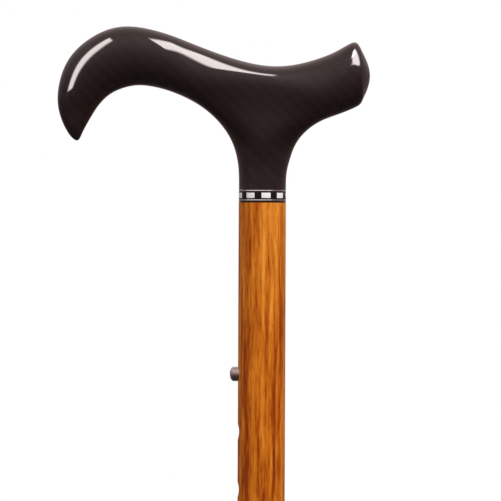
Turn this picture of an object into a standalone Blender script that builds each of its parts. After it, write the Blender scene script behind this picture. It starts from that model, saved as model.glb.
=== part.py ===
"""A height-adjustable carbon fibre walking stick with a derby handle, modelled piece by piece.

The stick stands upright on its rubber foot. The origin is the centre of the foot's tread, +Z runs up the
shaft, the beak of the handle points to -X and its heel to +X. The snap button faces -X. The stick is at its
shortest setting, with the button in the topmost hole. Lengths are in metres.
"""

import math

import bmesh
import bpy
from mathutils import Matrix, Vector

MM = 0.001

# Clearances
BOND_GAP = 0.3 * MM  # between two pieces that are glued, screwed or pressed together
STACK_GAP = 0.05 * MM  # between the faces of the collar's stacked rings
INLAY_GAP = 0.1 * MM  # round each inlay in its pocket
SLIDE_GAP = 0.3 * MM  # between the two tubes, on the radius
RUNNING_GAP = 0.1 * MM  # on the radius, where a piece guides another that slides or turns in it

# The whole stick
STICK_HEIGHT = 838.2 * MM  # tread to crown at the shortest setting
HOLE_PITCH = 25.4 * MM
HOLE_COUNT = 7

# Outer tube
OUTER_TUBE_DIAMETER = 20.8 * MM
OUTER_TUBE_WALL = 1.3 * MM
OUTER_TUBE_LENGTH = 360.0 * MM
FIRST_HOLE_DROP = 75.3 * MM  # tube's top edge to the centre of its first hole
HOLE_DIAMETER = 7.0 * MM
TUBE_EDGE = 0.3 * MM  # chamfer on the ends of tubes and plugs

# Inner tube
INNER_TUBE_WALL = 1.2 * MM
BUTTON_DROP = 28.0 * MM  # inner tube's top edge to the centre of the button's hole
GUIDE_SHANK = 10.0 * MM
GUIDE_HEAD = 3.2 * MM
GUIDE_EDGE = 0.8 * MM
END_PLUG_LENGTH = 10.0 * MM

# Handle
HANDLE_LENGTH = 137.3 * MM  # beak to heel
HANDLE_RISE = 71.7 * MM  # end of the neck to crown
PALM_WIDTH = 26.6 * MM
SKIN_WALL = 1.5 * MM
CORE_START = 16.0 * MM  # foam core's lower face above the neck's end
INSERT_HEIGHT = 30.0 * MM
INSERT_SHOULDER = 9.0 * MM  # height of the insert's full-bore lower part
INSERT_STEP = 0.9 * MM  # how much slimmer the insert is above its shoulder
STUD_DIAMETER = 7.8 * MM
STUD_EDGE = 0.8 * MM
STUD_ENGAGEMENT = 22.0 * MM  # length of stud in the insert, and again in the plug

# Collar
POLISHED_RING_HEIGHT = 0.6 * MM
BAND_HEIGHT = 3.45 * MM
BASE_RING_HEIGHT = 0.65 * MM
INLAY_COUNT = 9
INLAY_HEIGHT = 2.4 * MM
INLAY_DEPTH = 1.5 * MM
INLAY_ARC = 22.7  # degrees
INLAY_START = 9.2  # degrees from -Y towards +X, centre of the first inlay
PLUG_LENGTH = 25.0 * MM

# Snap button and its spring
BUTTON_DIAMETER = 6.35 * MM
BUTTON_PROUD = 3.6 * MM  # how far the dome stands out of the outer tube
BUTTON_DOME = 1.7 * MM
FLANGE_DIAMETER = 8.4 * MM
FLANGE_THICKNESS = 0.8 * MM
RIVET_DIAMETER = 3.0 * MM
RIVET_HEAD_DIAMETER = 5.0 * MM
RIVET_HEAD_THICKNESS = 0.8 * MM
SPRING_THICKNESS = 0.8 * MM
SPRING_WIDTH = 9.0 * MM
SPRING_LENGTH = 43.0 * MM  # button's centre down to the centre of the bend
SPRING_TIP = 9.0 * MM  # button's centre up to the free ends
SPRING_PAD = 7.0 * MM  # straight stretch of each arm below the button's centre
SPRING_BEND_RADIUS = 2.6 * MM

# Anti-rattle lock at the outer tube's lower end
BUSH_SLEEVE = 14.0 * MM  # part of the bush that wraps the outer tube
BUSH_SHOULDER = 6.0 * MM  # height of the bush's full-diameter shoulder
BUSH_SHOULDER_WALL = 2.6 * MM
BUSH_THREAD_WALL = 1.2 * MM
BUSH_EDGE = 0.8 * MM
FINGER_LENGTH = 16.0 * MM
FINGER_TAPER = 5.0 * MM  # height of the fingers' tapered ends
FINGER_TIP_WALL = 1.2 * MM
FINGER_SLOT_WIDTH = 1.6 * MM
FINGER_SLOT_DEPTH = 12.0 * MM
FINGER_SLOT_PAIRS = 2
CLAMP_RING_FLOOR = 2.5 * MM
CLAMP_RING_LIP = 2.0 * MM  # how far the clamp ring reaches up round the fingers
NUT_WALL = 2.0 * MM
NUT_FLOOR = 2.4 * MM
NUT_EDGE = 0.8 * MM
NUT_FLUTE_COUNT = 24
NUT_FLUTE_DEPTH = 0.5 * MM

# Foot
FERRULE_HEIGHT = 49.0 * MM
FERRULE_BASE_DIAMETER = 36.0 * MM
FERRULE_FLOOR = 12.0 * MM
FERRULE_WALL = 3.4 * MM
FERRULE_FLARE_START = 5.4 * MM  # height where the straight side gives way to the flare
FERRULE_FLARE_HEIGHT = 15.0 * MM
FERRULE_RIB = 0.7 * MM  # how far each rib stands out
FERRULE_RIB_HEIGHT = 3.0 * MM
FERRULE_RIB_PITCH = 10.0 * MM
FERRULE_RIB_COUNT = 2
TREAD_EDGE = 1.8 * MM
TREAD_GROOVE_DEPTH = 1.2 * MM
TREAD_GROOVE_WIDTH = 1.6 * MM
TREAD_GROOVE_RADII = (6.0 * MM, 10.6 * MM)
WASHER_THICKNESS = 1.5 * MM

# Sides of the round pieces
TUBE_SIDES = 40
HIDDEN_SIDES = 24
HOLE_SIDES = 20
FLUTE_POINTS = 4
INLAY_STEPS = 3  # facets along an inlay's curved face
DOME_STEPS = 5
BEND_STEPS = 8
FLARE_STEPS = 5
TREAD_EDGE_STEPS = 3
SHARP_ANGLE = 35  # degrees between two faces from which their edge is drawn sharp
MERGE_DISTANCE = 0.0001 * MM

# The handle's outline in millimetres, from the beak's tip to the heel: a point on its back, the point across
# from it on its belly, and the share of the palm's width there. X is measured from the shaft's axis and Z from
# the end of the neck. The handle's length and rise stretch it.
HANDLE_SECTIONS = (
    ((-85.4, 24.6), (-78.9, 25.3), 0.32),
    ((-89.3, 33.2), (-75.0, 32.4), 0.46),
    ((-90.0, 43.5), (-71.8, 37.2), 0.60),
    ((-86.2, 55.8), (-67.4, 41.5), 0.72),
    ((-77.5, 65.3), (-61.8, 44.3), 0.82),
    ((-66.0, 70.9), (-56.0, 45.6), 0.90),
    ((-53.5, 71.2), (-49.5, 45.3), 0.95),
    ((-40.0, 67.7), (-39.0, 42.5), 0.98),
    ((-25.5, 62.1), (-25.5, 35.3), 1.00),
    ((0.5, 54.8), (0.5, 37.6), 1.00),
    ((21.5, 57.0), (24.0, 29.4), 0.98),
    ((33.0, 61.6), (33.5, 33.4), 0.94),
    ((40.0, 65.1), (41.4, 36.8), 0.86),
    ((43.6, 61.2), (44.3, 40.4), 0.72),
)
BEAK_TIP = (-81.4, 21.4)
HEEL_POLE = (47.1, 50.6)
OUTLINE_LENGTH = 137.3  # beak to heel of this outline
OUTLINE_RISE = 71.7  # and its crown over the neck's end
NECK_SECTION_INDEX = 9  # the section that the neck grows down from
# Half-width of the palm where the neck leaves it, as a share of the palm's width, and its height
NECK_ROOT = (0.474, 35.0)
# The neck's sections, in millimetres: their height over the neck's end on the beak side and on the heel side,
# and how much wider than the tube they are on the beak side, on the heel side, and at front and back
NECK_SECTIONS = (
    (24.6, 21.8, 5.0, 5.2, 1.9),
    (14.6, 13.0, 1.0, 1.5, 0.5),
    (6.0, 6.0, 0.0, 0.1, 0.0),
    (-3.0, -3.0, 0.0, 0.0, 0.0),
    (-9.0, -9.0, 0.0, 0.0, 0.0),
)
RING_CORNERS = 8  # corners round each section of the handle
SQUARENESS = 0.76  # how far a section's corners reach towards its box's corners; 0.71 is an ellipse
CAGE_PASSES = 60  # rounds of moving the cage until its smooth surface meets the sections
SKIN_SMOOTHING = 2
CAVITY_SMOOTHING = 1

# Sizes that follow from the ones above
TUBE_RADIUS = OUTER_TUBE_DIAMETER / 2
TUBE_BORE = TUBE_RADIUS - OUTER_TUBE_WALL
INNER_RADIUS = TUBE_BORE - SLIDE_GAP
INNER_BORE = INNER_RADIUS - INNER_TUBE_WALL
STUD_RADIUS = STUD_DIAMETER / 2
STUD_HOLE = STUD_RADIUS + BOND_GAP
COLLAR_HEIGHT = 2 * POLISHED_RING_HEIGHT + BAND_HEIGHT + BASE_RING_HEIGHT + 5 * STACK_GAP
NECK_END = STICK_HEIGHT - HANDLE_RISE
TUBE_TOP = NECK_END - COLLAR_HEIGHT
TUBE_END = TUBE_TOP - OUTER_TUBE_LENGTH
BUTTON_Z = TUBE_TOP - FIRST_HOLE_DROP
INNER_TUBE_TOP = BUTTON_Z + BUTTON_DROP
INNER_TUBE_START = FERRULE_FLOOR + 2 * BOND_GAP + WASHER_THICKNESS
FERRULE_BORE = INNER_RADIUS + BOND_GAP
# The lock's threaded bush, and the taper of its fingers
THREAD_RADIUS = TUBE_RADIUS + BOND_GAP + BUSH_THREAD_WALL
FINGER_BORE = INNER_RADIUS + RUNNING_GAP
RING_BORE = INNER_RADIUS + SLIDE_GAP
FINGER_TIP_RADIUS = FINGER_BORE + FINGER_TIP_WALL
# Distances from the shaft's axis of what the button is made of, from its dome inwards
BUTTON_TIP = TUBE_RADIUS + BUTTON_PROUD
FLANGE_OUT = math.sqrt(INNER_BORE**2 - (FLANGE_DIAMETER / 2) ** 2) - BOND_GAP
FLANGE_IN = FLANGE_OUT - FLANGE_THICKNESS
ARM_MIDDLE = FLANGE_IN - BOND_GAP - SPRING_THICKNESS / 2
RIVET_HEAD_OUT = FLANGE_IN - 2 * BOND_GAP - SPRING_THICKNESS

# Looks: linear colour, roughness, metallic
BLACK_CARBON = ((0.018, 0.013, 0.013), 0.18, 0.0)
WOOD_FILM = ((0.420, 0.130, 0.022), 0.22, 0.0)
TWILL_CARBON = ((0.020, 0.020, 0.022), 0.25, 0.0)
BLACK_RESIN = ((0.012, 0.011, 0.012), 0.25, 0.0)
WHITE_RESIN = ((0.820, 0.810, 0.780), 0.30, 0.0)
POLISHED_NICKEL = ((0.720, 0.700, 0.660), 0.12, 1.0)
TURNED_ALUMINIUM = ((0.560, 0.570, 0.580), 0.35, 1.0)
ZINC_STEEL = ((0.500, 0.500, 0.510), 0.30, 1.0)
SPRING_STEEL = ((0.300, 0.310, 0.330), 0.30, 1.0)
BLACK_NYLON = ((0.025, 0.025, 0.026), 0.50, 0.0)
FOAM = ((0.620, 0.540, 0.360), 0.90, 0.0)
BLACK_RUBBER = ((0.022, 0.022, 0.022), 0.80, 0.0)


def clear_scene():
    for old in list(bpy.data.objects):
        bpy.data.objects.remove(old, do_unlink=True)


def finish_material(name, look):
    """A Principled material from a look's colour, roughness and metallic value."""
    colour, roughness, metallic = look
    material = bpy.data.materials.new(name)
    material.use_nodes = True
    shader = material.node_tree.nodes["Principled BSDF"]
    shader.inputs["Base Color"].default_value = (*colour, 1.0)
    shader.inputs["Roughness"].default_value = roughness
    shader.inputs["Metallic"].default_value = metallic
    return material


def height_of(frame):
    """How high a frame stands over the tread."""
    return frame.location.z + (height_of(frame.parent) if frame.parent else 0)


def joint_frame(name, height, parent=None):
    """An empty on the shaft's axis that carries the pieces of one moving group."""
    frame = bpy.data.objects.new(name, None)
    bpy.context.collection.objects.link(frame)
    frame.location.z = height - (height_of(parent) if parent else 0)
    frame.parent = parent
    return frame


def link_mesh(name, shape, parent, height):
    """An object made from a bmesh, with its origin on the shaft's axis at a height over the tread."""
    mesh = bpy.data.meshes.new(name)
    shape.to_mesh(mesh)
    shape.free()
    made = bpy.data.objects.new(name, mesh)
    bpy.context.collection.objects.link(made)
    made.location.z = height - height_of(parent)
    made.parent = parent
    return made


def piece(name, shape, look, parent, height):
    """One piece of the stick."""
    made = link_mesh(name, shape, parent, height)
    made.data.shade_smooth()
    made.data.set_sharp_from_angle(angle=math.radians(SHARP_ANGLE))
    made.data.materials.append(finish_material(name, look))
    return made


def cut(target, name, shape, height):
    """Cut a shape out of a piece."""
    cutter = link_mesh(name, shape, target.parent, height)
    cutter.hide_render = True
    cutter.display_type = "WIRE"
    modifier = target.modifiers.new(name, "BOOLEAN")
    modifier.operation = "DIFFERENCE"
    modifier.solver = "EXACT"
    modifier.object = cutter


def turned(profile, sides):
    """Turn a profile of (radius, height) points about the vertical axis.

    A profile that starts and ends at radius 0 makes a solid, and any other is closed into a ring.
    """
    shape = bmesh.new()
    points = [shape.verts.new((radius, 0, height)) for radius, height in profile]
    pairs = list(zip(points, points[1:]))
    if profile[0][0] > 0:
        pairs.append((points[-1], points[0]))
    edges = [shape.edges.new(pair) for pair in pairs]
    bmesh.ops.spin(
        shape,
        geom=points + edges,
        cent=(0, 0, 0),
        axis=(0, 0, 1),
        angle=math.tau,
        steps=sides,
        use_merge=True,
    )
    bmesh.ops.remove_doubles(shape, verts=shape.verts, dist=MERGE_DISTANCE)
    bmesh.ops.recalc_face_normals(shape, faces=shape.faces)
    return shape


def faced_left(shape):
    """Lay a turned shape down so that its axis runs along -X."""
    turn = Vector((0, 0, 1)).rotation_difference(Vector((-1, 0, 0))).to_matrix()
    bmesh.ops.rotate(shape, verts=shape.verts, cent=(0, 0, 0), matrix=turn)
    return shape


def ring_profile(bore, radius, height, edge=0.0):
    """Profile of a plain ring, with its outer edges chamfered by edge."""
    outer = [(radius, 0), (radius, height)]
    if edge:
        outer = [(radius - edge, 0), (radius, edge), (radius, height - edge), (radius - edge, height)]
    return [(bore, 0), *outer, (bore, height)]


def rod_profile(radius, low, high, edge):
    """Profile of a solid rod with chamfered ends."""
    return [
        (0, low),
        (radius - edge, low),
        (radius, low + edge),
        (radius, high - edge),
        (radius - edge, high),
        (0, high),
    ]


def joined(shapes):
    """Several shapes that don't touch, as one cutter."""
    whole = bmesh.new()
    for shape in shapes:
        mesh = bpy.data.meshes.new("cutter_part")
        shape.to_mesh(mesh)
        shape.free()
        whole.from_mesh(mesh)
        bpy.data.meshes.remove(mesh)
    return whole


def side_holes(heights, radius, reach):
    """Round cutters that run from the shaft's axis along -X."""
    drills = []
    for height in heights:
        drill = faced_left(turned([(0, 0), (radius, 0), (radius, reach), (0, reach)], HOLE_SIDES))
        bmesh.ops.translate(drill, verts=drill.verts, vec=(0, 0, height))
        drills.append(drill)
    return joined(drills)


def sector(bore, radius, half_height, centre_degrees, arc_degrees):
    """A slice of a ring, with its centre at an angle measured from -Y towards +X."""
    shape = bmesh.new()
    start = math.radians(centre_degrees - arc_degrees / 2 - 90)
    corners = [
        (distance * math.cos(start), distance * math.sin(start), height)
        for distance, height in (
            (bore, -half_height),
            (radius, -half_height),
            (radius, half_height),
            (bore, half_height),
        )
    ]
    face = shape.faces.new([shape.verts.new(corner) for corner in corners])
    bmesh.ops.spin(
        shape,
        geom=[*face.verts, *face.edges, face],
        cent=(0, 0, 0),
        axis=(0, 0, 1),
        angle=math.radians(arc_degrees),
        steps=INLAY_STEPS,
    )
    bmesh.ops.recalc_face_normals(shape, faces=shape.faces)
    return shape


def outline_point(pair):
    """A point of the handle's outline, at the handle's length and rise."""
    x, z = pair
    return Vector((x * HANDLE_LENGTH / OUTLINE_LENGTH, 0, z * HANDLE_RISE / OUTLINE_RISE))


def section_ring(shape, back, belly, half_width):
    """Eight corners round one section of the handle, from its back over its front side."""
    middle = (back + belly) / 2
    rise = (back - belly) / 2
    side = Vector((0, -half_width, 0))
    around = (
        middle + rise,
        middle + (rise + side) * SQUARENESS,
        middle + side,
        middle + (side - rise) * SQUARENESS,
        middle - rise,
        middle - (rise + side) * SQUARENESS,
        middle - side,
        middle + (rise - side) * SQUARENESS,
    )
    return [shape.verts.new(point) for point in around]


def neck_ring(shape, section):
    """Eight corners round the neck, from its beak side over its front."""
    beak_z, heel_z, beak_flare, heel_flare, side_flare = section
    ring = []
    for i in range(RING_CORNERS):
        angle = math.tau * i / RING_CORNERS
        lean = math.cos(angle)
        flare = beak_flare if lean > 0 else heel_flare
        x = -lean * (TUBE_RADIUS + flare * MM)
        y = -math.sin(angle) * (TUBE_RADIUS + side_flare * MM)
        z = (beak_z * (1 + lean) + heel_z * (1 - lean)) / 2 * HANDLE_RISE / OUTLINE_RISE
        ring.append(shape.verts.new((x, y, z)))
    return ring


def bridge_rings(shape, first, second):
    """Quads between two rings of eight corners."""
    for i in range(RING_CORNERS):
        j = (i + 1) % RING_CORNERS
        shape.faces.new((first[i], first[j], second[j], second[i]))


def close_ring(shape, ring, pole):
    """Four quads from a ring of eight corners to one pole."""
    tip = shape.verts.new(pole)
    for i in range(0, RING_CORNERS, 2):
        shape.faces.new((tip, ring[i], ring[i + 1], ring[(i + 2) % RING_CORNERS]))


def smooth_limit(corner):
    """Where subdivision carries one corner of a cage of quads."""
    if corner.is_boundary:
        beside = [edge.other_vert(corner).co for edge in corner.link_edges if edge.is_boundary]
        return (4 * corner.co + beside[0] + beside[1]) / 6
    count = len(corner.link_edges)
    near = Vector((0, 0, 0))
    for edge in corner.link_edges:
        near += edge.other_vert(corner).co
    far = Vector((0, 0, 0))
    for loop in corner.link_loops:
        far += loop.link_loop_next.link_loop_next.vert.co
    return (count * count * corner.co + 4 * near + far) / (count * (count + 5))


def handle_cage():
    """The handle's cage, spread so that its smoothed surface passes through the chosen sections."""
    shape = bmesh.new()
    rings = []
    for back, belly, share in HANDLE_SECTIONS:
        half_width = share * PALM_WIDTH / 2
        rings.append(section_ring(shape, outline_point(back), outline_point(belly), half_width))
    root_share, root_rise = NECK_ROOT
    over_neck = rings[NECK_SECTION_INDEX]
    for corner, side in ((over_neck[3], -1), (over_neck[5], 1)):
        corner.co.y = side * root_share * PALM_WIDTH
        corner.co.z = root_rise * HANDLE_RISE / OUTLINE_RISE
    for first, second in zip(rings, rings[1:]):
        bridge_rings(shape, first, second)
    close_ring(shape, rings[0], outline_point(BEAK_TIP))
    close_ring(shape, rings[-1], outline_point(HEEL_POLE))
    # The neck grows out of the hole that its root leaves in the belly
    before, after = rings[NECK_SECTION_INDEX - 1], rings[NECK_SECTION_INDEX + 1]
    hole = [before[4], before[3], over_neck[3], after[3], after[4], after[5], over_neck[5], before[5]]
    shape.verts.remove(over_neck[4])
    for section in NECK_SECTIONS:
        ring = neck_ring(shape, section)
        bridge_rings(shape, hole, ring)
        hole = ring
    bmesh.ops.recalc_face_normals(shape, faces=shape.faces)
    targets = {corner: corner.co.copy() for corner in shape.verts}
    for _ in range(CAGE_PASSES):
        moves = {corner: targets[corner] - smooth_limit(corner) for corner in shape.verts}
        for corner, move in moves.items():
            corner.co += move
    return shape


def smoothed(cage, levels):
    """The cage's subdivision surface, as a new bmesh that is still open at the neck."""
    mesh = bpy.data.meshes.new("handle_cage")
    cage.to_mesh(mesh)
    guide = bpy.data.objects.new("handle_cage", mesh)
    bpy.context.collection.objects.link(guide)
    guide.hide_render = True
    guide.display_type = "WIRE"
    modifier = guide.modifiers.new("smooth", "SUBSURF")
    modifier.levels = modifier.render_levels = levels
    modifier.use_limit_surface = True
    surface = bpy.data.meshes.new_from_object(guide.evaluated_get(bpy.context.evaluated_depsgraph_get()))
    shape = bmesh.new()
    shape.from_mesh(surface)
    bpy.data.meshes.remove(surface)
    bpy.data.objects.remove(guide, do_unlink=True)
    return shape


def sunk(shape, depth):
    """Move a surface inwards along its normals, in triangles, so that two depths stay parallel."""
    shape.normal_update()
    moves = {corner: corner.normal * depth for corner in shape.verts}
    for corner, move in moves.items():
        corner.co -= move
    bmesh.ops.triangulate(shape, faces=shape.faces, quad_method="FIXED")
    return shape


def capped(shape, floor=None):
    """Close the open neck, after trimming it at a floor where one is given."""
    if floor is not None:
        bmesh.ops.bisect_plane(
            shape,
            geom=[*shape.verts, *shape.edges, *shape.faces],
            dist=MERGE_DISTANCE,
            plane_co=(0, 0, floor),
            plane_no=(0, 0, -1),
            clear_outer=True,
        )
    rim = [edge for edge in shape.edges if edge.is_boundary]
    bmesh.ops.contextual_create(shape, geom=rim)
    bmesh.ops.recalc_face_normals(shape, faces=shape.faces)
    return shape


def make_handle(upper):
    """The moulded shell, its foam core, and the insert and stud that join it to the tube."""
    cage = handle_cage()
    skin = piece("handle_skin", capped(smoothed(cage, SKIN_SMOOTHING), 0.0), BLACK_CARBON, upper, NECK_END)
    cavity = sunk(smoothed(cage, CAVITY_SMOOTHING), SKIN_WALL)
    cut(skin, "skin_cavity", capped(cavity), NECK_END)
    core_shape = sunk(smoothed(cage, CAVITY_SMOOTHING), SKIN_WALL + BOND_GAP)
    cage.free()
    core = piece("handle_core", capped(core_shape, CORE_START), FOAM, upper, NECK_END)
    # The cavity is a polygon in the neck, and the insert stays inside its flats
    flats = RING_CORNERS * 2**CAVITY_SMOOTHING
    insert_radius = (TUBE_RADIUS - SKIN_WALL) * math.cos(math.pi / flats) - BOND_GAP
    slim_radius = insert_radius - INSERT_STEP
    socket_radius = slim_radius + BOND_GAP
    socket_top = INSERT_HEIGHT + BOND_GAP
    socket = [(0, 0), (socket_radius, 0), (socket_radius, socket_top), (0, socket_top)]
    cut(core, "insert_socket", turned(socket, HIDDEN_SIDES), NECK_END)
    bore_top = STUD_ENGAGEMENT + BOND_GAP
    insert = [
        (0, bore_top),
        (STUD_HOLE, bore_top),
        (STUD_HOLE, 0),
        (insert_radius, 0),
        (insert_radius, INSERT_SHOULDER),
        (slim_radius, INSERT_SHOULDER + INSERT_STEP),
        (slim_radius, INSERT_HEIGHT - INSERT_STEP),
        (slim_radius - INSERT_STEP, INSERT_HEIGHT),
        (0, INSERT_HEIGHT),
    ]
    piece("neck_insert", turned(insert, HIDDEN_SIDES), TURNED_ALUMINIUM, upper, NECK_END)
    stud = rod_profile(STUD_RADIUS, -COLLAR_HEIGHT - STUD_ENGAGEMENT, STUD_ENGAGEMENT, STUD_EDGE)
    piece("handle_stud", turned(stud, HIDDEN_SIDES), ZINC_STEEL, upper, NECK_END)


def make_collar(upper):
    """The stack of rings between the neck and the tube, and the inlays set in its band."""
    stack = (
        ("collar_upper_ring", POLISHED_RING_HEIGHT, POLISHED_NICKEL),
        ("collar_band", BAND_HEIGHT, BLACK_RESIN),
        ("collar_lower_ring", POLISHED_RING_HEIGHT, POLISHED_NICKEL),
        ("collar_base_ring", BASE_RING_HEIGHT, BLACK_RESIN),
    )
    top = NECK_END - STACK_GAP
    for name, height, look in stack:
        ring = piece(name, turned(ring_profile(STUD_HOLE, TUBE_RADIUS, height), TUBE_SIDES), look, upper, top - height)
        if name == "collar_band":
            set_inlays(upper, ring, top - height / 2)
        top -= height + STACK_GAP


def set_inlays(upper, band, middle):
    """White blocks in pockets round the collar's band, whose middle is at a height over the tread."""
    seat = TUBE_RADIUS - INLAY_DEPTH
    pocket_arc = INLAY_ARC + 2 * math.degrees(INLAY_GAP / TUBE_RADIUS)
    pockets = []
    for i in range(INLAY_COUNT):
        turn = INLAY_START + i * 360 / INLAY_COUNT
        pocket = sector(
            seat - INLAY_GAP, TUBE_RADIUS + INLAY_DEPTH, INLAY_HEIGHT / 2 + INLAY_GAP, turn, pocket_arc
        )
        pockets.append(pocket)
        inlay = sector(seat, TUBE_RADIUS, INLAY_HEIGHT / 2, turn, INLAY_ARC)
        piece(f"collar_inlay_{i + 1}", inlay, WHITE_RESIN, upper, middle)
    cut(band, "inlay_pockets", joined(pockets), middle)


def make_outer_tube(upper):
    """The upper tube with its row of adjustment holes, and the plug that takes the handle's stud."""
    profile = ring_profile(TUBE_BORE, TUBE_RADIUS, OUTER_TUBE_LENGTH, TUBE_EDGE)
    tube = piece("outer_tube", turned(profile, TUBE_SIDES), WOOD_FILM, upper, TUBE_END)
    heights = [-i * HOLE_PITCH for i in range(HOLE_COUNT)]
    holes = side_holes(heights, HOLE_DIAMETER / 2, TUBE_RADIUS + HOLE_DIAMETER)
    cut(tube, "adjustment_holes", holes, BUTTON_Z)
    plug = ring_profile(STUD_HOLE, TUBE_BORE - BOND_GAP, PLUG_LENGTH, TUBE_EDGE)
    piece("tube_plug", turned(plug, HIDDEN_SIDES), TURNED_ALUMINIUM, upper, TUBE_TOP - PLUG_LENGTH)


def make_lock_bush(upper):
    """The bush bonded round the outer tube's lower end, with slotted fingers round the inner tube."""
    sleeve_bore = TUBE_RADIUS + BOND_GAP
    shoulder_radius = sleeve_bore + BUSH_SHOULDER_WALL
    shoulder_low = BUSH_SLEEVE - BUSH_SHOULDER
    bush = [
        (FINGER_BORE, -FINGER_LENGTH),
        (FINGER_TIP_RADIUS, -FINGER_LENGTH),
        (THREAD_RADIUS, FINGER_TAPER - FINGER_LENGTH),
        (THREAD_RADIUS, shoulder_low),
        (shoulder_radius, shoulder_low),
        (shoulder_radius, BUSH_SLEEVE - BUSH_EDGE),
        (shoulder_radius - BUSH_EDGE, BUSH_SLEEVE),
        (sleeve_bore, BUSH_SLEEVE),
        (sleeve_bore, -BOND_GAP),
        (FINGER_BORE, -BOND_GAP),
    ]
    made = piece("lock_bush", turned(bush, TUBE_SIDES), BLACK_NYLON, upper, TUBE_END)
    for i in range(FINGER_SLOT_PAIRS):
        slot = bmesh.new()
        bmesh.ops.create_cube(slot, size=1.0)
        reach = 2 * (THREAD_RADIUS + BOND_GAP)
        bmesh.ops.scale(slot, verts=slot.verts, vec=(reach, FINGER_SLOT_WIDTH, 2 * FINGER_SLOT_DEPTH))
        turn = Matrix.Rotation(math.pi * (i + 0.5) / FINGER_SLOT_PAIRS, 3, "Z")
        bmesh.ops.rotate(slot, verts=slot.verts, cent=(0, 0, 0), matrix=turn)
        cut(made, f"finger_slot_{i + 1}", slot, TUBE_END - FINGER_LENGTH)


def fluted_rod(radius, low, high):
    """A rod with grip flutes round it and a plain chamfer at each end."""
    shape = bmesh.new()
    count = NUT_FLUTE_COUNT * FLUTE_POINTS
    levels = (
        (low, radius - NUT_EDGE, 0.0),
        (low + NUT_EDGE, radius, NUT_FLUTE_DEPTH),
        (high - NUT_EDGE, radius, NUT_FLUTE_DEPTH),
        (high, radius - NUT_EDGE, 0.0),
    )
    loops = []
    for height, reach, depth in levels:
        loop = []
        for i in range(count):
            angle = math.tau * i / count
            dip = (1 - math.cos(NUT_FLUTE_COUNT * angle)) / 2
            out = reach - depth * dip
            loop.append(shape.verts.new((out * math.cos(angle), out * math.sin(angle), height)))
        loops.append(loop)
    for below, above in zip(loops, loops[1:]):
        for i in range(count):
            j = (i + 1) % count
            shape.faces.new((below[i], below[j], above[j], above[i]))
    shape.faces.new(loops[0])
    shape.faces.new(loops[-1])
    bmesh.ops.recalc_face_normals(shape, faces=shape.faces)
    return shape


def make_lock_nut(upper):
    """The clamp ring that follows the fingers' taper, and the fluted nut that turns on it and drives it."""
    seat = TUBE_END - FINGER_LENGTH  # the fingers' ends
    clamp = joint_frame("clamp_frame", seat, upper)
    ring_low = -BOND_GAP - CLAMP_RING_FLOOR
    lip_radius = FINGER_TIP_RADIUS + (THREAD_RADIUS - FINGER_TIP_RADIUS) * CLAMP_RING_LIP / FINGER_TAPER
    ring = [
        (RING_BORE, ring_low),
        (THREAD_RADIUS, ring_low),
        (THREAD_RADIUS, CLAMP_RING_LIP),
        (lip_radius + BOND_GAP, CLAMP_RING_LIP),
        (FINGER_TIP_RADIUS + BOND_GAP, -BOND_GAP),
        (RING_BORE, -BOND_GAP),
    ]
    piece("clamp_ring", turned(ring, TUBE_SIDES), BLACK_NYLON, clamp, seat)

    nut = joint_frame("nut_frame", seat, clamp)
    bore = THREAD_RADIUS + RUNNING_GAP
    floor_top = ring_low - BOND_GAP
    low = floor_top - NUT_FLOOR
    high = FINGER_LENGTH + BUSH_SLEEVE - BUSH_SHOULDER - BOND_GAP
    body = piece("lock_nut", fluted_rod(bore + NUT_WALL, low, high), BLACK_NYLON, nut, seat)
    through = [
        (0, low - NUT_EDGE),
        (RING_BORE, low - NUT_EDGE),
        (RING_BORE, floor_top),
        (bore, floor_top),
        (bore, high + NUT_EDGE),
        (0, high + NUT_EDGE),
    ]
    cut(body, "nut_bore", turned(through, TUBE_SIDES), seat)


def make_inner_tube(lower):
    """The lower tube with the button's hole, its guide bush on top and the plug in its foot."""
    length = INNER_TUBE_TOP - INNER_TUBE_START
    profile = ring_profile(INNER_BORE, INNER_RADIUS, length, TUBE_EDGE)
    tube = piece("inner_tube", turned(profile, TUBE_SIDES), TWILL_CARBON, lower, INNER_TUBE_START)
    cut(tube, "button_hole", side_holes([0], HOLE_DIAMETER / 2, TUBE_RADIUS), BUTTON_Z)
    shank_radius = INNER_BORE - BOND_GAP
    head_radius = TUBE_BORE - RUNNING_GAP
    head_top = BOND_GAP + GUIDE_HEAD
    guide = [
        (0, -GUIDE_SHANK),
        (shank_radius, -GUIDE_SHANK),
        (shank_radius, BOND_GAP),
        (head_radius, BOND_GAP),
        (head_radius, head_top - GUIDE_EDGE),
        (head_radius - GUIDE_EDGE, head_top),
        (0, head_top),
    ]
    piece("guide_bush", turned(guide, TUBE_SIDES), BLACK_NYLON, lower, INNER_TUBE_TOP)
    plug = rod_profile(shank_radius, 0, END_PLUG_LENGTH, TUBE_EDGE)
    piece("end_plug", turned(plug, TUBE_SIDES), BLACK_NYLON, lower, INNER_TUBE_START)


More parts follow.
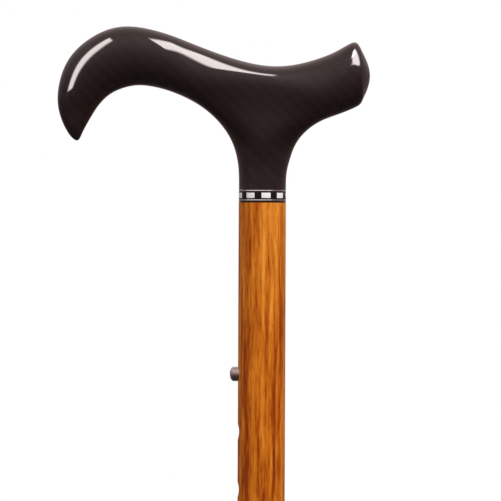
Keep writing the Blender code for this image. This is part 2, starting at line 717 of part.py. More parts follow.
def make_snap_button(lower):
    """The domed button with its flange and rivet, turned about the hole's axis."""
    frame = joint_frame("button_frame", BUTTON_Z, lower)
    pin = BUTTON_DIAMETER / 2
    shoulder = BUTTON_TIP - BUTTON_DOME
    rivet_edge = RIVET_HEAD_THICKNESS / 2
    head = RIVET_HEAD_DIAMETER / 2
    profile = [
        (0, RIVET_HEAD_OUT - RIVET_HEAD_THICKNESS),
        (head - rivet_edge, RIVET_HEAD_OUT - RIVET_HEAD_THICKNESS),
        (head, RIVET_HEAD_OUT - rivet_edge),
        (head, RIVET_HEAD_OUT),
        (RIVET_DIAMETER / 2, RIVET_HEAD_OUT),
        (RIVET_DIAMETER / 2, FLANGE_IN),
        (FLANGE_DIAMETER / 2, FLANGE_IN),
        (FLANGE_DIAMETER / 2, FLANGE_OUT),
        (pin, FLANGE_OUT),
    ]
    for i in range(DOME_STEPS):
        angle = math.pi / 2 * i / DOME_STEPS
        profile.append((pin * math.cos(angle), shoulder + BUTTON_DOME * math.sin(angle)))
    profile.append((0, BUTTON_TIP))
    piece("snap_button", faced_left(turned(profile, HOLE_SIDES)), POLISHED_NICKEL, frame, BUTTON_Z)


def make_button_spring(lower):
    """A leaf bent to a V: one arm carries the button and the other bears on the tube's far side."""
    wall = math.sqrt(INNER_BORE**2 - (SPRING_WIDTH / 2) ** 2)
    far_arm = wall - BOND_GAP - SPRING_THICKNESS / 2
    bend_middle = (far_arm - ARM_MIDDLE) / 2
    route = [(-ARM_MIDDLE, SPRING_TIP), (-ARM_MIDDLE, 0), (-ARM_MIDDLE, -SPRING_PAD)]
    for i in range(BEND_STEPS + 1):
        angle = math.pi * i / BEND_STEPS
        across = bend_middle - SPRING_BEND_RADIUS * math.cos(angle)
        route.append((across, -SPRING_LENGTH - SPRING_BEND_RADIUS * math.sin(angle)))
    route += [(far_arm, -SPRING_PAD), (far_arm, SPRING_TIP)]
    shape = bmesh.new()
    edge_line = [shape.verts.new((x, -SPRING_WIDTH / 2, z)) for x, z in route]
    edges = [shape.edges.new(pair) for pair in zip(edge_line, edge_line[1:])]
    swept = bmesh.ops.extrude_edge_only(shape, edges=edges)["geom"]
    moved = [item for item in swept if isinstance(item, bmesh.types.BMVert)]
    bmesh.ops.translate(shape, verts=moved, vec=(0, SPRING_WIDTH, 0))
    made = piece("button_spring", shape, SPRING_STEEL, lower, BUTTON_Z)
    leaf = made.modifiers.new("leaf", "SOLIDIFY")
    leaf.thickness = SPRING_THICKNESS
    leaf.offset = 0.0
    leaf.use_even_offset = True
    rivet_hole = side_holes([0], RIVET_DIAMETER / 2 + BOND_GAP, TUBE_RADIUS)
    cut(made, "rivet_hole", rivet_hole, BUTTON_Z)


def make_foot(lower):
    """The rubber ferrule with its tread, and the steel washer under the tube."""
    base = FERRULE_BASE_DIAMETER / 2
    barrel = FERRULE_BORE + FERRULE_WALL
    profile = [(0, 0)]
    for groove in TREAD_GROOVE_RADII:
        slope = TREAD_GROOVE_WIDTH / 4
        profile += [
            (groove, 0),
            (groove + slope, TREAD_GROOVE_DEPTH),
            (groove + TREAD_GROOVE_WIDTH - slope, TREAD_GROOVE_DEPTH),
            (groove + TREAD_GROOVE_WIDTH, 0),
        ]
    for i in range(TREAD_EDGE_STEPS + 1):
        angle = math.pi / 2 * i / TREAD_EDGE_STEPS
        profile.append((base - TREAD_EDGE * (1 - math.sin(angle)), TREAD_EDGE * (1 - math.cos(angle))))
    # The flare is a quarter of an ellipse from the straight side up to the barrel
    flare_rise = FERRULE_FLARE_HEIGHT - FERRULE_FLARE_START
    for i in range(FLARE_STEPS + 1):
        angle = math.pi / 2 * i / FLARE_STEPS
        out = barrel + (base - barrel) * (1 - math.sin(angle))
        profile.append((out, FERRULE_FLARE_START + flare_rise * (1 - math.cos(angle))))
    for i in reversed(range(FERRULE_RIB_COUNT)):
        rib_top = FERRULE_HEIGHT - i * FERRULE_RIB_PITCH
        rib_low = rib_top - FERRULE_RIB_HEIGHT
        profile += [
            (barrel, rib_low - FERRULE_RIB),
            (barrel + FERRULE_RIB, rib_low),
            (barrel + FERRULE_RIB, rib_top - FERRULE_RIB),
            (barrel, rib_top),
        ]
    profile += [(FERRULE_BORE, FERRULE_HEIGHT), (FERRULE_BORE, FERRULE_FLOOR), (0, FERRULE_FLOOR)]
    piece("ferrule", turned(profile, TUBE_SIDES), BLACK_RUBBER, lower, 0.0)
    washer = rod_profile(INNER_RADIUS, 0, WASHER_THICKNESS, TUBE_EDGE)
    piece("ferrule_washer", turned(washer, TUBE_SIDES), ZINC_STEEL, lower, FERRULE_FLOOR + BOND_GAP)


def main():
    clear_scene()
    lower = joint_frame("lower_frame", 0.0)
    make_foot(lower)
    make_inner_tube(lower)
    make_button_spring(lower)
    make_snap_button(lower)
    upper = joint_frame("upper_frame", TUBE_END)
    make_outer_tube(upper)
    make_lock_bush(upper)
    make_lock_nut(upper)
    make_collar(upper)
    make_handle(upper)


main()
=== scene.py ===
"""The looks of a height-adjustable carbon fibre walking stick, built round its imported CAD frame.

The stick stands on its rubber foot with +Z up the shaft. The beak of the handle and the snap button point
to -X, and the photograph looks along +Y. Lengths are in metres, written as millimetres times MM.
"""

import logging
import math
from collections.abc import Mapping, Sequence
from dataclasses import dataclass
from enum import Enum

import bmesh
import bpy
from mathutils import Matrix, Vector


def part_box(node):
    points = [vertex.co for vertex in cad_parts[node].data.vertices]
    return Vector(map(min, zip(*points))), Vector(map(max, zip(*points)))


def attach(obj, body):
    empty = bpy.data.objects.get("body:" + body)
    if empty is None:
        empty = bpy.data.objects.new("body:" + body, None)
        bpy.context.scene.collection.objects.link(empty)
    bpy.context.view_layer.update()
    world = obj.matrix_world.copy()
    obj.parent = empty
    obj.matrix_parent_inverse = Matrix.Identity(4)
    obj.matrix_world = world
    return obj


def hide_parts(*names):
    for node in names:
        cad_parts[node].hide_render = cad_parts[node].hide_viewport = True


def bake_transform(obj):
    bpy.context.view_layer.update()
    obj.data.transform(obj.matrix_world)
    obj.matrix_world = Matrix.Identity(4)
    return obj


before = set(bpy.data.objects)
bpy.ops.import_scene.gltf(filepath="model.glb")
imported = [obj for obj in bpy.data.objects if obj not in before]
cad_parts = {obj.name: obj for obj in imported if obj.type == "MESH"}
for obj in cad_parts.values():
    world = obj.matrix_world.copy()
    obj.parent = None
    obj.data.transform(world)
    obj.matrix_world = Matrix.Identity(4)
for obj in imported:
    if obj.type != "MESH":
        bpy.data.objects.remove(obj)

log = logging.getLogger("walking_stick")

MM = 0.001
MERGE_DISTANCE = 0.0001 * MM  # corners closer than this are one
ARC_STEPS = 5  # facets on a rounded corner of a turned piece
TUBE_STEPS = 128  # facets round a tube
SMALL_STEPS = 64  # facets round a hole or a small turned piece
SHARP_ANGLE = 40.0  # degrees between two faces from which their edge is shaded sharp
BOND_GAP = 0.3 * MM  # the CAD frame's gap between two pieces that are glued, screwed or pressed together
LOWER_TUBE_RADIUS = 8.8 * MM
TOWS_ROUND = 28  # tows of the twill that close the round of the lower tube
NOISE_RANGE = (0.3, 0.7)  # between these lie most of the values of a noise pattern

Colour = tuple[float, float, float, float]
Profile = Sequence[tuple[float, float, float]]


class Body(Enum):
    """The CAD bodies that the pieces ride on."""

    LOWER = "lower"
    BUTTON = "button"
    UPPER = "upper"
    CLAMP = "clamp"
    LOCK = "lock"


def linear(hex_colour: str) -> Colour:
    """Turn an sRGB hex colour into the linear values that a shader takes.

    Args:
        hex_colour: The colour as "#rrggbb".

    Returns:
        Linear red, green and blue with an alpha of 1.
    """
    channels = (int(hex_colour[i : i + 2], 16) / 255 for i in (1, 3, 5))
    red, green, blue = (c / 12.92 if c <= 0.04045 else ((c + 0.055) / 1.055) ** 2.4 for c in channels)
    return red, green, blue, 1.0


def add_node(
    tree: bpy.types.NodeTree,
    kind: str,
    inputs: Mapping[str | int, object] | None = None,
    stops: Sequence[tuple[float, str]] = (),
    **settings: object,
) -> bpy.types.Node:
    """Add one node with its settings, values and links.

    Args:
        tree: The node tree that the node goes into.
        kind: The node's type, such as "ShaderNodeMath".
        inputs: What each input takes, by its name or number: a value, a socket, or a node whose first output
            it is.
        stops: Places and hex colours of a colour ramp, its two ends first.
        **settings: The node's own settings, such as operation.

    Returns:
        The new node.
    """
    node = tree.nodes.new(kind)
    for name, value in settings.items():
        setattr(node, name, value)
    for key, value in (inputs or {}).items():
        if isinstance(value, bpy.types.Node):
            value = value.outputs[0]
        if isinstance(value, bpy.types.NodeSocket):
            tree.links.new(value, node.inputs[key])
        else:
            node.inputs[key].default_value = value
    for i, (place, colour) in enumerate(stops):
        ramp = node.color_ramp.elements
        stop = ramp[i] if i < 2 else ramp.new(place)
        stop.position = place
        stop.color = linear(colour)
    return node


def per_mm(*lengths: float) -> tuple[float, ...]:
    """Turn a pattern's sizes in millimetres along X, Y and Z into the scale of its coordinates."""
    return tuple(1 / (length * MM) for length in lengths)


@dataclass(frozen=True)
class Finish:
    """A surface finish: the shader's uniform values, and a pattern that a subclass adds."""

    name: str
    colour: str
    roughness: float
    metallic: float = 0.0
    specular: float = 0.5
    coat: float = 0.0
    coat_roughness: float = 0.03
    coat_ior: float = 1.5

    def material(self) -> bpy.types.Material:
        """Make the finish's material the first time that it is asked for.

        Returns:
            The material.
        """
        known = bpy.data.materials.get(self.name)
        if known:
            return known
        material = bpy.data.materials.new(self.name)
        material.use_nodes = True
        tree = material.node_tree
        shader = tree.nodes["Principled BSDF"]
        shader.inputs["Base Color"].default_value = linear(self.colour)
        shader.inputs["Roughness"].default_value = self.roughness
        shader.inputs["Metallic"].default_value = self.metallic
        shader.inputs["Specular IOR Level"].default_value = self.specular
        shader.inputs["Coat Weight"].default_value = self.coat
        shader.inputs["Coat Roughness"].default_value = self.coat_roughness
        shader.inputs["Coat IOR"].default_value = self.coat_ior
        self.pattern(tree, shader)
        return material

    def pattern(self, tree: bpy.types.NodeTree, shader: bpy.types.Node) -> None:
        """Add what varies over the surface. A subclass says what that is."""


def twill(
    tree: bpy.types.NodeTree, across: object, along: object, tow: float
) -> tuple[bpy.types.Node, bpy.types.Node]:
    """Add a 2 by 2 twill of flat tows.

    Args:
        tree: The node tree that the weave goes into.
        across: Node or socket with the distance across the warp, in metres.
        along: Node or socket with the distance along the warp, in metres.
        tow: Width of a tow in metres.

    Returns:
        A node that gives 1 where the warp lies on top and 0 where the weft does, and one that gives the tows'
        height from 0 to 1.
    """
    column = add_node(tree, "ShaderNodeMath", {0: across, 1: tow}, operation="DIVIDE")
    row = add_node(tree, "ShaderNodeMath", {0: along, 1: tow}, operation="DIVIDE")
    column_number = add_node(tree, "ShaderNodeMath", {0: column}, operation="FLOOR")
    row_number = add_node(tree, "ShaderNodeMath", {0: row}, operation="FLOOR")
    step = add_node(tree, "ShaderNodeMath", {0: column_number, 1: row_number}, operation="ADD")
    # The pattern repeats after four tows, and the warp lies on top of the first two
    phase = add_node(tree, "ShaderNodeMath", {0: step, 1: 4.0}, operation="FLOORED_MODULO")
    warp_on_top = add_node(tree, "ShaderNodeMath", {0: phase, 1: 1.5}, operation="LESS_THAN")
    crowns = []
    for place in (column, row):
        across_tow = add_node(tree, "ShaderNodeMath", {0: place}, operation="FRACT")
        half_turn = add_node(tree, "ShaderNodeMath", {0: across_tow, 1: math.pi}, operation="MULTIPLY")
        crowns.append(add_node(tree, "ShaderNodeMath", {0: half_turn}, operation="SINE"))
    height = add_node(tree, "ShaderNodeMix", {0: warp_on_top, 2: crowns[1], 3: crowns[0]}, data_type="FLOAT")
    return warp_on_top, height


@dataclass(frozen=True)
class CarbonCloth(Finish):
    """Twill carbon cloth in resin under smooth lacquer. Warp and weft differ by relief and by painted sheen.
    """

    # Painted sheen: the weft's colour differs from the warp's, for the light that warp and weft catch in turn
    weft_sheen_colour: str = "#26262a"
    relief: float = 0.04 * MM
    tow: float = 2.0 * MM
    tube_radius: float = 0.0  # 0 lays the cloth flat from the side that a face looks to

    def pattern(self, tree: bpy.types.NodeTree, shader: bpy.types.Node) -> None:
        """Add the cloth in colour, with painted sheen on the weft, and in relief.

        Args:
            tree: The material's node tree.
            shader: The material's shader node.
        """
        coordinates = add_node(tree, "ShaderNodeTexCoord")
        place = add_node(tree, "ShaderNodeSeparateXYZ", {0: coordinates.outputs["Object"]})
        if self.tube_radius:
            angle = add_node(
                tree, "ShaderNodeMath", {0: place.outputs["Y"], 1: place.outputs["X"]}, operation="ARCTAN2"
            )
            across = add_node(tree, "ShaderNodeMath", {0: angle, 1: self.tube_radius}, operation="MULTIPLY")
            along = place.outputs["Z"]
        else:
            facing = add_node(tree, "ShaderNodeSeparateXYZ", {0: coordinates.outputs["Normal"]})
            upward = add_node(tree, "ShaderNodeMath", {0: facing.outputs["Z"]}, operation="ABSOLUTE")
            on_top = add_node(
                tree, "ShaderNodeMath", {0: upward, 1: math.sqrt(0.5)}, operation="GREATER_THAN"
            )
            across = place.outputs["X"]
            along = add_node(
                tree,
                "ShaderNodeMix",
                {0: on_top, 2: place.outputs["Z"], 3: place.outputs["Y"]},
                data_type="FLOAT",
            )
        warp, height = twill(tree, across, along, self.tow)
        # Painted sheen: warp and weft take different colours, for the light that they catch in turn
        cloth_and_sheen = add_node(
            tree,
            "ShaderNodeMix",
            {0: warp, 6: linear(self.weft_sheen_colour), 7: linear(self.colour)},
            data_type="RGBA",
        )
        tree.links.new(cloth_and_sheen.outputs[2], shader.inputs["Base Color"])
        bump = add_node(tree, "ShaderNodeBump", {"Height": height, "Distance": self.relief})
        tree.links.new(bump.outputs[0], shader.inputs["Normal"])


@dataclass(frozen=True)
class WoodFilm(Finish):
    """A printed wood-grain film. Wavy streaks run up the tube, from honey to dark brown, with fine pores."""

    dark: float = 0.36
    light: float = 0.65
    sway: float = 2.3  # millimetres that the streaks wander sideways
    sway_size: tuple[float, float, float] = (13, 13, 36)  # millimetres from one bend of a streak to the next
    pore_size: tuple[float, float, float] = (0.5, 0.5, 5)  # millimetres
    painted_light_heights: tuple[float, float] = (0.64, 0.77)  # painted light: the film is painted lighter up the tube between these heights
    painted_light_tones: tuple[float, float] = (-0.02, 0.03)  # what the tone gains below and above them
    pore_edge: tuple[float, float] = (0.28, 0.38)  # the pattern's values at which a pore is full and ends
    pore_shade: float = 0.75  # how much of the colour is left in a pore

    def pattern(self, tree: bpy.types.NodeTree, shader: bpy.types.Node) -> None:
        """Add the grain, the pores, and painted light that makes the tube lighter up its length.

        Args:
            tree: The material's node tree.
            shader: The material's shader node.
        """
        place = add_node(tree, "ShaderNodeTexCoord").outputs["Object"]
        slow = add_node(tree, "ShaderNodeMapping", {"Vector": place, "Scale": per_mm(*self.sway_size)})
        drift = add_node(tree, "ShaderNodeTexNoise", {"Vector": slow, "Scale": 1.0, "Detail": 1.0})
        centred = add_node(
            tree,
            "ShaderNodeVectorMath",
            {0: drift.outputs["Color"], 1: (0.5, 0.5, 0.5)},
            operation="SUBTRACT",
        )
        shift = add_node(tree, "ShaderNodeVectorMath", {0: centred, 3: self.sway * MM}, operation="SCALE")
        swayed = add_node(tree, "ShaderNodeVectorMath", {0: place, 1: shift}, operation="ADD")
        tone: object = 0.0
        # Broad, middling and fine streaks: size in millimetres, detail and share of the tone
        for size, detail, share in (
            ((6.0, 6.0, 110), 1.0, 0.28),
            ((2.3, 2.3, 50), 2.0, 0.46),
            ((1.0, 1.0, 10), 2.0, 0.26),
        ):
            stretched = add_node(tree, "ShaderNodeMapping", {"Vector": swayed, "Scale": per_mm(*size)})
            noise = add_node(
                tree,
                "ShaderNodeTexNoise",
                {"Vector": stretched, "Scale": 1.0, "Detail": detail, "Roughness": 0.55},
            )
            tone = add_node(tree, "ShaderNodeMath", {0: noise, 1: share, 2: tone}, operation="MULTIPLY_ADD")
        height = add_node(tree, "ShaderNodeSeparateXYZ", {0: place}).outputs["Z"]
        # Painted light: the tone rises up the tube, where the light falls brighter
        low, high = self.painted_light_heights
        least, most = self.painted_light_tones
        glow = add_node(tree, "ShaderNodeMapRange", {0: height, 1: low, 2: high, 3: least, 4: most})
        tone = add_node(tree, "ShaderNodeMath", {0: tone, 1: glow}, operation="ADD")
        wood = add_node(
            tree,
            "ShaderNodeValToRGB",
            {0: tone},
            stops=(
                (self.dark, "#7c3000"),
                (self.light, "#ee963a"),
                (0.41, "#903802"),
                (0.45, "#a24604"),
                (0.50, "#be620e"),
                (0.55, "#d07418"),
                (0.60, "#de8326"),
            ),
        )
        fine = add_node(tree, "ShaderNodeMapping", {"Vector": swayed, "Scale": per_mm(*self.pore_size)})
        pore = add_node(tree, "ShaderNodeTexNoise", {"Vector": fine, "Scale": 1.0, "Detail": 1.0})
        full, ends = self.pore_edge
        dark = add_node(
            tree, "ShaderNodeMapRange", {0: pore, 1: full, 2: ends, 3: self.pore_shade, 4: 1.0}
        )
        grained = add_node(
            tree, "ShaderNodeMix", {0: 1.0, 6: wood, 7: dark}, data_type="RGBA", blend_type="MULTIPLY"
        )
        tree.links.new(grained.outputs[2], shader.inputs["Base Color"])


@dataclass(frozen=True)
class FineSurface(Finish):
    """A plain material with the fine unevenness that its making leaves, in tone, gloss and relief."""

    grain: tuple[float, float, float] = (0.6, 0.6, 0.6)  # millimetres
    tone_spread: float = 0.06
    gloss_spread: float = 0.05
    relief: float = 0.0

    def pattern(self, tree: bpy.types.NodeTree, shader: bpy.types.Node) -> None:
        """Add the unevenness.

        Args:
            tree: The material's node tree.
            shader: The material's shader node.
        """
        place = add_node(tree, "ShaderNodeTexCoord").outputs["Object"]
        stretched = add_node(tree, "ShaderNodeMapping", {"Vector": place, "Scale": per_mm(*self.grain)})
        noise = add_node(tree, "ShaderNodeTexNoise", {"Vector": stretched, "Scale": 1.0, "Detail": 3.0})
        low, high = NOISE_RANGE
        tone = add_node(
            tree,
            "ShaderNodeMapRange",
            {0: noise, 1: low, 2: high, 3: 1 - self.tone_spread, 4: 1 + self.tone_spread},
        )
        toned = add_node(
            tree, "ShaderNodeVectorMath", {0: linear(self.colour)[:3], 3: tone}, operation="SCALE"
        )
        tree.links.new(toned.outputs[0], shader.inputs["Base Color"])
        smoothest, roughest = self.roughness - self.gloss_spread, self.roughness + self.gloss_spread
        gloss = add_node(
            tree, "ShaderNodeMapRange", {0: noise, 1: low, 2: high, 3: smoothest, 4: roughest}
        )
        tree.links.new(gloss.outputs[0], shader.inputs["Roughness"])
        if self.relief:
            bump = add_node(tree, "ShaderNodeBump", {"Height": noise, "Distance": self.relief})
            tree.links.new(bump.outputs[0], shader.inputs["Normal"])


@dataclass(frozen=True)
class FadingFloor(FineSurface):
    """A pale floor that turns into the white ground towards its rim, as the camera sees it."""

    fade_start: float = 0.10
    fade_end: float = 0.50

    def pattern(self, tree: bpy.types.NodeTree, shader: bpy.types.Node) -> None:
        """Add the unevenness and the fading.

        Args:
            tree: The material's node tree.
            shader: The material's shader node.
        """
        super().pattern(tree, shader)
        place = add_node(tree, "ShaderNodeTexCoord").outputs["Object"]
        out = add_node(tree, "ShaderNodeVectorMath", {0: place}, operation="LENGTH").outputs["Value"]
        fading = add_node(
            tree,
            "ShaderNodeMapRange",
            {0: out, 1: self.fade_start, 2: self.fade_end},
            interpolation_type="SMOOTHSTEP",
        )
        seen = add_node(tree, "ShaderNodeLightPath").outputs["Is Camera Ray"]
        share = add_node(tree, "ShaderNodeMath", {0: fading, 1: seen}, operation="MULTIPLY")
        white = add_node(tree, "ShaderNodeEmission", {"Strength": 1.0})
        both = add_node(tree, "ShaderNodeMixShader", {0: share, 1: shader, 2: white})
        tree.links.new(both.outputs[0], tree.nodes["Material Output"].inputs["Surface"])


# Carbon cloth moulded over foam and lacquered thick: nearly black, with highlights as sharp as on glass and a
# faint painted shade on the weft
HANDLE_LACQUER = CarbonCloth(
    "lacquered_carbon_moulding",
    "#1e1413",
    0.40,
    specular=0.03,
    coat=1.0,
    coat_ior=1.6,
    weft_sheen_colour="#1a1010",
    tow=1.6 * MM,
    relief=0.03 * MM,
)
# Decor film under clear lacquer: the grain looks wet, and the tube has soft reflections
TUBE_FILM = WoodFilm("lacquered_wood_film", "#bd6716", 0.40, specular=0.0, coat=0.5, coat_roughness=0.12)
# Cloth wrapped on a mandrel under satin lacquer: the 2 by 2 twill shows as diagonal steps, with painted sheen
# on the weft
LOWER_TWILL = CarbonCloth(
    "satin_carbon_twill",
    "#121214",
    0.36,
    coat=0.6,
    coat_roughness=0.25,
    weft_sheen_colour="#303034",
    tow=math.tau * LOWER_TUBE_RADIUS / TOWS_ROUND,
    tube_radius=LOWER_TUBE_RADIUS,
)
# Plated and polished: the collar's rings and the button mirror the room
NICKEL = FineSurface(
    "polished_nickel_plate", "#d9d5cf", 0.12, metallic=1.0, tone_spread=0.02, gloss_spread=0.02
)
# Cast and polished resin: deep black and clean white with a clear gloss
BLACK_RESIN = FineSurface("polished_black_resin", "#0f0e10", 0.14, tone_spread=0.03, gloss_spread=0.02)
WHITE_RESIN = FineSurface("polished_white_resin", "#f4f1ee", 0.16, tone_spread=0.02, gloss_spread=0.03)
# Turned on a lathe: the tool leaves fine rings round the axis
TURNED_ALUMINIUM = FineSurface(
    "turned_aluminium", "#c4c6c9", 0.34, metallic=1.0, grain=(8.0, 8.0, 0.25), relief=0.004 * MM
)
# Bright zinc: pale grey and a little cloudy
ZINC_STEEL = FineSurface("zinc_plated_steel", "#bfc1c6", 0.30, metallic=1.0, grain=(1.5, 1.5, 0.6))
# Rolled strip, hardened and blued: dark grey with faint lengthwise marks
SPRING_STEEL = FineSurface("blued_spring_steel", "#5c6068", 0.30, metallic=1.0, grain=(0.4, 0.4, 6.0))
# Moulded in a spark-eroded tool: even, matt, finely grained black
BLACK_NYLON = FineSurface(
    "moulded_black_nylon", "#232325", 0.42, grain=(0.35, 0.35, 0.35), relief=0.012 * MM
)
# Sawn and sanded rigid foam: pale, dull and porous
RIGID_FOAM = FineSurface(
    "cut_rigid_foam", "#cdbf98", 0.90, grain=(0.8, 0.8, 0.8), relief=0.15 * MM, tone_spread=0.15
)
# Moulded rubber with carbon black: deep grey, dull, faintly dusty
BLACK_RUBBER = FineSurface(
    "moulded_black_rubber", "#262627", 0.68, grain=(0.5, 0.5, 0.5), relief=0.02 * MM, tone_spread=0.12
)
# Matt painted board: pale and even
PALE_FLOOR = FadingFloor("matt_painted_floor", "#ededec", 0.70, grain=(40, 40, 40), tone_spread=0.01)


def eased(profile: Profile) -> list[Vector]:
    """Round the corners of a profile.

    Args:
        profile: Each corner's distance from the axis, its height, and the radius that it is rounded to.

    Returns:
        The profile's points, with an arc in place of each corner whose radius isn't 0.
    """
    points: list[Vector] = []
    corners = [Vector(corner[:2]) for corner in profile]
    for i, (_, _, radius) in enumerate(profile):
        here = corners[i]
        if not radius:
            points.append(here)
            continue
        back = (corners[i - 1] - here).normalized()
        on = (corners[(i + 1) % len(corners)] - here).normalized()
        half = back.angle(on) / 2
        centre = here + (back + on).normalized() * radius / math.sin(half)
        start = here + back * radius / math.tan(half) - centre
        end = here + on * radius / math.tan(half) - centre
        # slerp gives directions of length 1
        points += [centre + radius * start.slerp(end, step / ARC_STEPS) for step in range(ARC_STEPS + 1)]
    return points


def turned(profile: Profile, steps: int = TUBE_STEPS) -> bmesh.types.BMesh:
    """Turn a profile about the shaft's axis.

    Args:
        profile: Each corner's distance from the axis, its height, and the radius that it is rounded to. A
            profile that starts and ends on the axis makes a solid, and any other is closed into a ring.
        steps: Facets round the turn.

    Returns:
        The turned shape, with its faces pointing outwards.
    """
    shape = bmesh.new()
    points = [shape.verts.new((point.x, 0, point.y)) for point in eased(profile)]
    pairs = list(zip(points, points[1:]))
    if profile[0][0] > 0:
        pairs.append((points[-1], points[0]))
    edges = [shape.edges.new(pair) for pair in pairs]
    bmesh.ops.spin(
        shape,
        geom=points + edges,
        cent=(0, 0, 0),
        axis=(0, 0, 1),
        angle=math.tau,
        steps=steps,
        use_merge=True,
    )
    bmesh.ops.remove_doubles(shape, verts=shape.verts, dist=MERGE_DISTANCE)
    bmesh.ops.recalc_face_normals(shape, faces=shape.faces)
    return shape


def sector(
    bore: float, radius: float, low: float, high: float, centre: float, arc: float
) -> bmesh.types.BMesh:
    """Make a slice of a ring.

    Args:
        bore: The slice's inner radius.
        radius: Its outer radius.
        low: Its lower height.
        high: Its upper height.
        centre: The angle of its middle in degrees, from -Y towards +X.
        arc: The angle that it covers in degrees.

    Returns:
        The slice, with its faces pointing outwards.
    """
    shape = bmesh.new()
    corners = [(bore, 0, low), (radius, 0, low), (radius, 0, high), (bore, 0, high)]
    face = shape.faces.new([shape.verts.new(corner) for corner in corners])
    start = Matrix.Rotation(math.radians(centre - arc / 2 - 90), 3, "Z")
    bmesh.ops.rotate(shape, verts=shape.verts, cent=(0, 0, 0), matrix=start)
    bmesh.ops.spin(
        shape,
        geom=[*face.verts, *face.edges, face],
        cent=(0, 0, 0),
        axis=(0, 0, 1),
        angle=math.radians(arc),
        steps=ARC_STEPS,
    )
    bmesh.ops.recalc_face_normals(shape, faces=shape.faces)
    return shape


def side_drill(heights: Sequence[float], radius: float, reach: float) -> bmesh.types.BMesh:
    """Make round cutters that run from the shaft's axis along -X.

    Args:
        heights: The height of each cutter's axis.
        radius: The cutters' radius.
        reach: How far from the shaft's axis they end.

    Returns:
        The cutters as one shape.
    """
    shape = bmesh.new()
    for height in heights:
        place = Matrix.Translation((-reach / 2, 0, height)) @ Matrix.Rotation(math.pi / 2, 4, "Y")
        bmesh.ops.create_cone(
            shape,
            cap_ends=True,
            segments=SMALL_STEPS,
            radius1=radius,
            radius2=radius,
            depth=reach,
            matrix=place,
        )
    return shape


def shade(piece: bpy.types.Object, sharp: float = SHARP_ANGLE) -> None:
    """Shade a piece smooth, but for its edges from an angle in degrees on."""
    piece.data.shade_smooth()
    piece.data.set_sharp_from_angle(angle=math.radians(sharp))


def as_piece(name: str, shape: bmesh.types.BMesh) -> bpy.types.Object:
    """Make an object at the origin from a shape, and free the shape.

    Args:
        name: The object's name.
        shape: The shape, in the frame's coordinates.

    Returns:
        The new object.
    """
    mesh = bpy.data.meshes.new(name)
    shape.to_mesh(mesh)
    shape.free()
    piece = bpy.data.objects.new(name, mesh)
    bpy.context.scene.collection.objects.link(piece)
    shade(piece)
    return piece


def settle(piece: bpy.types.Object) -> None:
    """Apply a piece's modifiers to its mesh.

    Args:
        piece: The piece.
    """
    graph = bpy.context.evaluated_depsgraph_get()
    mesh = bpy.data.meshes.new_from_object(piece.evaluated_get(graph))
    piece.modifiers.clear()
    piece.data = mesh
    shade(piece)


def drill(piece: bpy.types.Object, cutter: bmesh.types.BMesh) -> None:
    """Cut a shape out of a piece, and free the shape.

    Args:
        piece: The piece.
        cutter: The shape to take away.
    """
    tool = as_piece("cutter", cutter)
    cut = piece.modifiers.new("cut", "BOOLEAN")
    cut.operation = "DIFFERENCE"
    cut.solver = "EXACT"
    cut.object = tool
    settle(piece)
    bpy.data.objects.remove(tool, do_unlink=True)


def dress(piece: bpy.types.Object, finish: Finish) -> None:
    """Give a piece its finish."""
    piece.data.materials.clear()
    piece.data.materials.append(finish.material())


def fit(piece: bpy.types.Object, finish: Finish, body: Body, node: str) -> None:
    """Dress a piece, let it ride on its body and stand for its CAD node.

    Args:
        piece: The piece, already in place.
        finish: Its finish.
        body: The body that carries it.
        node: The CAD node that it stands for.
    """
    dress(piece, finish)
    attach(piece, body.value)
    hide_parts(node)
    log.info("%s rides on %s for %s", piece.name, body.value, node)


def top_of(node: str) -> float:
    """Height of a CAD node's highest point."""
    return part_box(node)[1].z


def foot_of(node: str) -> float:
    """Height of a CAD node's lowest point."""
    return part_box(node)[0].z


def radius_of(node: str) -> float:
    """Radius of a CAD node that is round about the shaft's axis."""
    low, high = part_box(node)
    return (high.y - low.y) / 2


def middle_of(node: str) -> float:
    """Height of a CAD node's middle."""
    return (foot_of(node) + top_of(node)) / 2


def sleeve(node: str, bore: float, edge: float) -> bmesh.types.BMesh:
    """Turn a plain tube or ring, as wide and as long as a CAD node.

    Args:
        node: The CAD node that it stands for.
        bore: The radius of its bore.
        edge: The radius that its outer edges are rounded to.

    Returns:
        The tube.
    """
    radius, low, high = radius_of(node), foot_of(node), top_of(node)
    return turned([(bore, low, 0), (radius, low, edge), (radius, high, edge), (bore, high, 0)])


def carry_over(node: str, finish: Finish) -> None:
    """Give a CAD node that is shown as it is its finish."""
    dress(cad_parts[node], finish)
    log.info("%s keeps its CAD mesh, in %s", node, finish.name)


